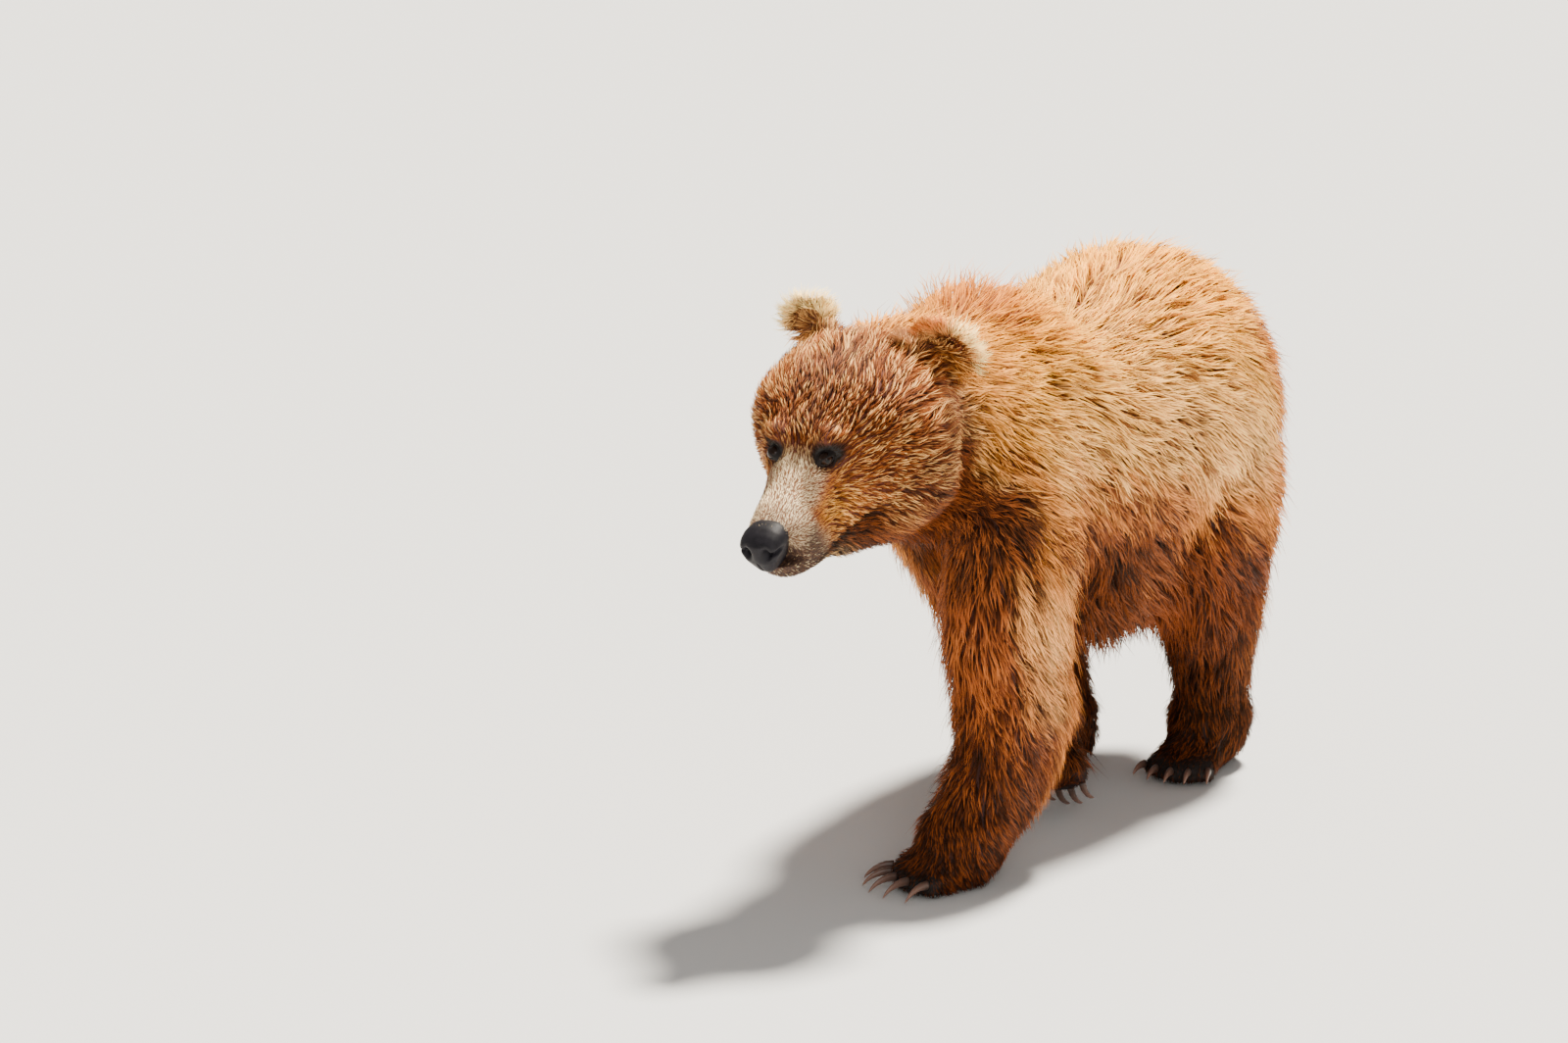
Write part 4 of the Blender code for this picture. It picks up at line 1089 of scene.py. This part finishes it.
def eyeball(name, side):
    """A ball whose radius swells by 9% round its pole, as the cornea does: r (1 + 0.09 bell(a))."""
    centre, outward, corner, above = eye_axes(side)
    angle = np.linspace(0.02, math.pi - 0.02, BALL_RINGS)[:, None]
    around = circle(BALL_ROUND)[None]
    radius = EYE_RADIUS * (1 + 0.09 * bell(angle, 0.5))
    shape = (radius * np.cos(angle) + 0 * around)[..., None] * outward
    shape = shape + (radius * np.sin(angle) * np.cos(around))[..., None] * corner
    shape = shape + (radius * np.sin(angle) * np.sin(around))[..., None] * above
    faces = grid_faces(BALL_RINGS, BALL_ROUND)
    piece = new_piece("ball_" + name, (shape + centre).reshape(-1, 3), faces, "eye_gloss", name)
    put(piece.data, "gaze", "FLOAT", np.repeat(angle.ravel(), BALL_ROUND))
    put(piece.data, "round", "FLOAT", np.tile(around.ravel(), BALL_RINGS))
    close_ends(piece)
    return piece


balls = [eyeball("eye_left", 1), eyeball("eye_right", -1)]
print("eyes at", [np.round(eye_axes(side)[0], 3).tolist() for side in (1, -1)])

# %% The lids
# Half width, half height and radius as a share of the ball's: the inner edge, the crest, and down it.
LID_RINGS = (
    (0.0104, 0.0042, 0.93), (0.0108, 0.0046, 1.05), (0.0119, 0.0060, 1.16), (0.0136, 0.0084, 1.22),
)
# Half width, half height and height over the skin: where the lids meet it and go under.
LID_SKIRT = (
    (0.0160, 0.0108, 0.0014), (0.0182, 0.0126, 0.0004),
    (0.0200, 0.0140, -0.0016), (0.0200, 0.0140, -0.006),
)
LID_ROUND = 72
skin_tree = BVHTree.FromPolygons(corners.tolist(), faces.tolist())


def lids(name, side):
    """A closed band round an almond.

    Its inner edge lies on the eyeball, at the almond's angle from the gaze; its crest stands 2 mm over
    the ball; its outer edge is where the almond, enlarged, meets the skin, and it goes back under.
    """
    centre, outward, corner, above = eye_axes(side)
    around = circle(LID_ROUND)
    heading = columns(np.cos(around), np.sin(around) * (1 - 0.30 * np.cos(around) ** 4))

    def ring(wide, high, drop=0.0):
        """Places of an almond of these half sizes, its inner corner lower than the outer one."""
        across, height = wide * heading[:, 0], high * heading[:, 1] - drop * np.cos(around)
        return across[:, None] * corner + height[:, None] * above, np.hypot(across, height)

    rings = []
    for wide, high, swell in LID_RINGS:
        flat, reach = ring(wide, high, 0.0015)
        level = np.sqrt(np.maximum((EYE_RADIUS * swell) ** 2 - reach**2, (EYE_RADIUS * 0.30) ** 2))
        rings.append(centre + flat + level[:, None] * outward)
    for wide, high, over in LID_SKIRT:
        landing, ahead = [], centre + ring(wide, high, 0.0025)[0] + outward * 0.05
        for place, fallback in zip(ahead, rings[-1], strict=True):
            hit = skin_tree.ray_cast(Vector(place), Vector(-outward), 0.09)
            landing.append(np.array(hit[0]) if hit[0] is not None else fallback)
        rings.append(np.array(landing) + outward * over)
    rings.append(centre + ring(0.008, 0.005)[0] - outward * 0.004)
    rings = np.array(rings)
    for _ in range(3):
        rings[3:6] += 0.5 * ((rings[2:5] + rings[4:7]) / 2 - rings[3:6])
    faces = grid_faces(len(rings), LID_ROUND, closed=True)
    piece = new_piece("lids_" + name, rings.reshape(-1, 3), faces, "nose_leather")
    close_ends(piece)
    smooth = piece.modifiers.new("smooth", "SUBSURF")
    smooth.levels = smooth.render_levels = 1
    return finished(piece)


eyelids = [lids("eye_left", 1), lids("eye_right", -1)]
print("lids", [round(v * 1000) for v in eyelids[0].dimensions], "mm")

# %% [markdown]
# ## The nose
# The nose pad is bare, pebbled leather, with comma-shaped nostrils that open to the sides and a groove
# down the middle to the lip. It is a lofted grid: rings from the muzzle to the front, then every point is
# pushed back where a nostril, a slit or the groove lies in front of it.

# %% The nose pad
# Of each ring: the way ahead, the middle's height, the half width, and the reach above and below.
NOSE_RIBS = np.array((
    (0.312, 0.018, 0.0280, 0.0190, 0.0520), (0.328, 0.018, 0.0350, 0.0260, 0.0530),
    (0.345, 0.017, 0.0385, 0.0290, 0.0510), (0.359, 0.015, 0.0382, 0.0280, 0.0460),
    (0.370, 0.012, 0.0350, 0.0255, 0.0400), (0.3775, 0.011, 0.0270, 0.0200, 0.0300),
    (0.3810, 0.010, 0.0150, 0.0115, 0.0160), (0.3822, 0.010, 0.001, 0.001, 0.001),
))
NOSE_RINGS, NOSE_ROUND = 110, 130
SQUARENESS = 2 / 2.5  # the exponent of a superellipse of power 2.5
EVENED = 7  # how many rings on either side a smoothed ring takes in


def nose():
    """Rings of superellipses along the muzzle; depth features depend on the place seen from the front."""
    steps, spots = np.linspace(0, len(NOSE_RIBS) - 1, NOSE_RINGS), np.arange(len(NOSE_RIBS))
    ribs = columns(*(np.interp(steps, spots, column) for column in NOSE_RIBS.T))
    padded = np.vstack([ribs[:1]] * EVENED + [ribs] + [ribs[-1:]] * EVENED)
    weights = np.hanning(2 * EVENED + 3)[1:-1] / (EVENED + 1)
    ribs = columns(*(np.convolve(column, weights, "valid") for column in padded.T))
    around = circle(NOSE_ROUND)
    wide, tall = (np.sign(wave) * np.abs(wave) ** SQUARENESS for wave in (np.cos(around), np.sin(around)))
    x = np.repeat(ribs[:, :1], NOSE_ROUND, axis=1)
    y = ribs[:, 2:3] * wide * (1 - 0.52 * ramp(-tall, -0.25, 1.0))
    z = ribs[:, 1:2] + np.where(tall > 0, ribs[:, 3:4], ribs[:, 4:5]) * tall
    front, away = ramp(x, 0.340, 0.368), np.abs(y)
    pit = np.exp(-(((away - 0.0170) / 0.0072) ** 2) - (((z - 0.018) / 0.0085) ** 2))
    slit = bell(z - 0.015 - 0.35 * (away - 0.020), 0.0034)
    slit = slit * ramp(away, 0.014, 0.022) * ramp(away, 0.041, 0.035)
    groove = bell(y, 0.0016) * ramp(z, 0.008, -0.004)
    wing = np.exp(-(((away - 0.026) / 0.006) ** 2) - (((z - 0.029) / 0.007) ** 2))
    x = x - front * (0.016 * pit + 0.0080 * slit + 0.0035 * groove) + 0.0015 * wing
    x = x - 0.20 * np.clip(0.004 - z, 0, 1) * ramp(x, 0.325, 0.355)
    y = y * (1 - 0.10 * slit * front)
    return from_skull(columns(x, y, z).reshape(-1, 3))


nose_piece = new_piece("nose_pad", nose(), grid_faces(NOSE_RINGS, NOSE_ROUND), "nose_leather", "nose")
close_ends(nose_piece)
print("nose pad", [round(v * 1000) for v in nose_piece.dimensions], "mm")

# %% [markdown]
# ## Claws
# A grizzly's front claws are long, blunt and gently curved, its hind claws shorter. Each solid claw is
# five rings round a bent line. The rings' middles and widths become a smooth tube with fine growth lines.

# %% The claws
CLAW_RINGS, CLAW_ROUND = 28, 20
THICKER = 1.28  # how much wider than the solid's five-sided rings the round horn is


def claw(name):
    """A tube along the middles of the solid's five rings, with fine ridges."""
    points = merged(name)[0]
    middle = points.mean(axis=0)
    _, _, ways = np.linalg.svd(points - middle)
    order = np.argsort((points - middle) @ ways[0])
    rings = points[order].reshape(5, 5, 3)
    size = np.linalg.norm(rings - rings.mean(axis=1, keepdims=True), axis=2).mean(axis=1)
    rings = rings[::-1] if size[0] < size[-1] else rings
    middles = rings.mean(axis=1)
    size = np.linalg.norm(rings - middles[:, None], axis=2).mean(axis=1) * THICKER
    knots, t = np.arange(5), np.linspace(0, 4, CLAW_RINGS)
    path = columns(*(np.polyval(np.polyfit(knots, column, 3), t) for column in middles.T))
    radius = np.interp(t, knots, size) * np.sqrt(np.clip((4.04 - t) / 0.5, 0.02, 1))
    along = unit(np.gradient(path, axis=0))
    bend = middles[2] - (middles[0] + middles[-1]) / 2
    bend = unit(bend - along * (along @ bend)[:, None])
    side, around = unit(np.cross(along, bend)), circle(CLAW_ROUND)
    ridge = 1 + 0.03 * np.sin(t * 9)[:, None] + 0 * around
    shape = path[:, None] + times(side, 0.78 * radius[:, None] * ridge * np.cos(around))
    shape = shape + times(bend, radius[:, None] * ridge * np.sin(around))
    faces = grid_faces(CLAW_RINGS, CLAW_ROUND)
    piece = new_piece("horn_" + name, shape.reshape(-1, 3), faces, "claw_horn", name)
    put(piece.data, "along", "FLOAT", np.repeat(t / 4, CLAW_ROUND))
    close_ends(piece)
    return piece


horns = [claw(name) for name in CLAWS]
print("claws:", len(horns), clock())

# %% [markdown]
# ## Finishes
# All colour on skin and coat comes from the stored markings. The shaders add what a brush can't: a dark
# root and a bright tip to every hair, the grain of leather, and the growth lines of horn.

# %% Shader maths as expressions
class Socket:
    """A node socket that can be added and multiplied; each step adds one Math node."""

    def __init__(self, sheet, socket):
        self.sheet, self.socket = sheet, socket

    def math(self, operation, first, second):
        return self.sheet.node("Math", {"operation": operation}, {0: first, 1: second})[0]

    def __add__(self, other):
        return self.math("ADD", self, other)

    def __radd__(self, other):
        return self.math("ADD", other, self)

    def __mul__(self, other):
        return self.math("MULTIPLY", self, other)

    def __rmul__(self, other):
        return self.math("MULTIPLY", other, self)


class Sheet:
    """The node tree of one material."""

    def __init__(self, name):
        self.material = bpy.data.materials.new(name)
        self.material.use_nodes = True
        self.tree = self.material.node_tree
        self.tree.nodes.clear()

    def node(self, kind, settings, inputs):
        """Adds a node: its type, its settings, then its sockets' values or links; gives its outputs."""
        made = self.tree.nodes.new("ShaderNode" + kind)
        for key, value in settings.items():
            if key == "stops":
                for element, (place, grey) in zip(made.color_ramp.elements, value, strict=True):
                    element.position, element.color = place, (grey, grey, grey, 1)
            else:
                setattr(made, key, value)
        for key, value in inputs.items():
            if isinstance(value, Socket):
                self.tree.links.new(value.socket, made.inputs[key])
            else:
                made.inputs[key].default_value = value
        return [Socket(self, output) for output in made.outputs]

    def attribute(self, name):
        """A stored attribute: its colour and its number."""
        colour, _, number, _ = self.node("Attribute", {"attribute_name": name}, {})
        return colour, number

    def blend(self, factor, first, second, kind="MIX"):
        """Mix of two colours."""
        settings = {"data_type": "RGBA", "blend_type": kind, "clamp_factor": True}
        first, second = ((*c, 1) if isinstance(c, tuple) else c for c in (first, second))
        return self.node("Mix", settings, {"Factor": factor, "A": first, "B": second})[2]

    def step(self, value, start, stop):
        """Black below start, white above stop."""
        return self.node("ValToRGB", {"stops": ((start, 0), (stop, 1))}, {0: value})[0]

    def noise(self, scale, detail):
        """Noise on the object's own coordinates."""
        place = self.node("TexCoord", {}, {})[3]
        return self.node("TexNoise", {}, {"Vector": place, "Scale": scale, "Detail": detail})[0]

    def bump(self, strength, distance, height):
        """A normal that makes the surface look raised where height is high; distance is in metres."""
        return self.node("Bump", {}, {"Strength": strength, "Distance": distance, "Height": height})[0]

    def finish(self, pieces, inputs):
        """The surface shader, given to every piece."""
        shader = self.node("BsdfPrincipled", {}, inputs)[0]
        self.node("OutputMaterial", {}, {"Surface": shader})
        for piece in pieces:
            piece.data.materials.clear()
            piece.data.materials.append(self.material)
        print(self.material.name, "on", len(pieces), "pieces, with", len(self.tree.nodes), "nodes")


# %% Fur and skin
fur = Sheet("fur")
colour = fur.attribute("coat")[0]
# Dark roots and pale tips; where the painted backlight has raised along, the root stays bright.
root = fur.blend(1.0, colour, (0.12, 0.06, 0.035), "MULTIPLY")
tip = fur.blend(1.0, colour, (1.35, 1.35, 1.30), "MULTIPLY")
fur.finish(coat, {
    "Base Color": fur.blend(fur.step(fur.attribute("along")[1], 0.20, 0.94), root, tip),
    "Roughness": 0.55,
    "Specular IOR Level": 0.22,
    "Specular Tint": (1.0, 0.66, 0.38, 1),
})
hide = Sheet("hide")
hide.finish([skin], {
    "Base Color": hide.blend(1.0, hide.attribute("coat")[0], (0.26, 0.14, 0.10), "MULTIPLY"),
    "Roughness": 0.75,
    "Normal": hide.bump(0.5, 0.0008, hide.noise(900.0, 3.0)),
})
paint(skin.data, markings(corners, calm))

# %% Leather
leather = Sheet("leather")
place = leather.node("TexCoord", {}, {})[3]
inputs = {"Vector": place, "Scale": 520.0}
pebbles = leather.node("TexVoronoi", {"feature": "DISTANCE_TO_EDGE"}, inputs)[0]
blotch = leather.noise(90.0, 3.0)
leather.finish([nose_piece], {
    "Base Color": leather.blend(blotch, (0.002, 0.002, 0.003), (0.014, 0.012, 0.017)),
    "Roughness": 0.42 + blotch * 0.2,
    "Specular IOR Level": 0.20,
    "Normal": leather.bump(0.55, 0.0006, pebbles + blotch * 0.2),
})
lid_skin = Sheet("lid skin")
blotch = lid_skin.noise(300.0, 3.0)
lid_skin.finish(eyelids, {
    "Base Color": lid_skin.blend(blotch, (0.004, 0.003, 0.003), (0.014, 0.010, 0.009)),
    "Roughness": 0.55 + blotch * 0.2,
    "Specular IOR Level": 0.20,
    "Normal": lid_skin.bump(0.4, 0.0004, blotch),
})

# %% Eyes and horn
TO_SHARE = 0.318  # makes an angle of 0 to half a turn a number from 0 to 1
eye = Sheet("wet eye")
gaze = eye.attribute("gaze")[1]
inputs = {"W": eye.attribute("round")[1], "Scale": 9.0}
spokes = eye.node("TexNoise", {"noise_dimensions": "1D"}, inputs)[0]
iris = eye.blend(spokes, (0.008, 0.004, 0.002), (0.030, 0.012, 0.006))
iris = eye.blend(eye.step(gaze * TO_SHARE, 0.085, 0.105), (0.002, 0.002, 0.002), iris)
eye.finish(balls, {
    "Base Color": eye.blend(eye.step(gaze * TO_SHARE, 0.20, 0.26), iris, (0.012, 0.006, 0.004)),
    "Roughness": 0.07,
    "Specular IOR Level": 0.16,
})
horn = Sheet("horn")
streak = horn.noise(260.0, 4.0)
base = horn.blend(horn.attribute("along")[1], (0.030, 0.016, 0.013), (0.34, 0.17, 0.12))
horn.finish(horns, {
    "Base Color": horn.blend(streak * 0.6, base, (0.10, 0.055, 0.035)),
    "Roughness": 0.30 + streak * 0.2,
    "Normal": horn.bump(0.3, 0.0003, streak),
})

# %% [markdown]
# ## Floor, light and camera
# The bear stands in a plain pale studio. A broad light from above and behind rims the back, as a high
# white sky does, and a softer one in front opens the face.

# %% The floor and the room
FLOOR = 30.0  # metres from the middle to each edge
ground = bpy.data.meshes.new("floor")
edge = [(x * FLOOR, y * FLOOR, 0) for x, y in ((-1, -1), (1, -1), (1, 1), (-1, 1))]
ground.from_pydata(edge, [], [(0, 1, 2, 3)])
floor = bpy.data.objects.new("floor", ground)
bpy.context.scene.collection.objects.link(floor)
Sheet("pale floor").finish([floor], {"Base Color": (0.80, 0.80, 0.79, 1), "Roughness": 0.9})
floor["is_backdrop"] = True
world = bpy.data.worlds.new("pale room")
bpy.context.scene.world = world
world.use_nodes = True
colour, strength = world.node_tree.nodes["Background"].inputs[:2]
colour.default_value, strength.default_value = (1.0, 0.97, 0.93, 1), 0.34

# %% The lights and the camera
BODY_MIDDLE = (0, 0, 0.5)


def aimed(name, thing, place, target):
    """An object for a light or camera, at place and pointing at target."""
    made = bpy.data.objects.new(name, thing)
    made.location = place
    made.rotation_euler = (Vector(target) - Vector(place)).to_track_quat("-Z", "Y").to_euler()
    bpy.context.scene.collection.objects.link(made)
    return made


sun = bpy.data.lights.new("high sky", "SUN")
sun.energy, sun.angle, sun.color = 11.2, math.radians(9), (1.0, 0.93, 0.82)
aimed("high sky", sun, (0.15, 1.6, 4.4), BODY_MIDDLE)
front = bpy.data.lights.new("front", "AREA")
front.energy, front.size, front.color, front.specular_factor = 90, 2.6, (1.0, 0.97, 0.93), 0.12
aimed("front", front, (3.0, -4.2, 2.0), BODY_MIDDLE)
lens = bpy.data.cameras.new("camera")
lens.lens, lens.sensor_width, lens.clip_end = 121.5, 36.0, 60.0
AZIMUTH, ELEVATION, DISTANCE = math.radians(32), math.radians(13), 9.0
AIM = np.array((-0.213, -0.352, 0.592))
across = math.cos(ELEVATION)
away = np.array((math.sin(AZIMUTH) * across, -math.cos(AZIMUTH) * across, math.sin(ELEVATION)))
bpy.context.scene.camera = aimed("camera", lens, (AIM + away * DISTANCE).tolist(), AIM.tolist())
print("camera at", [round(v, 2) for v in bpy.context.scene.camera.location])

# %% Measure and finish
low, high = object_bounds()
print("grows by mm", [round((a - b) * 1000) for a, b in zip((*cad_low, *high), (*low, *cad_high))])
print("seconds:", round(time.time() - started, 1))
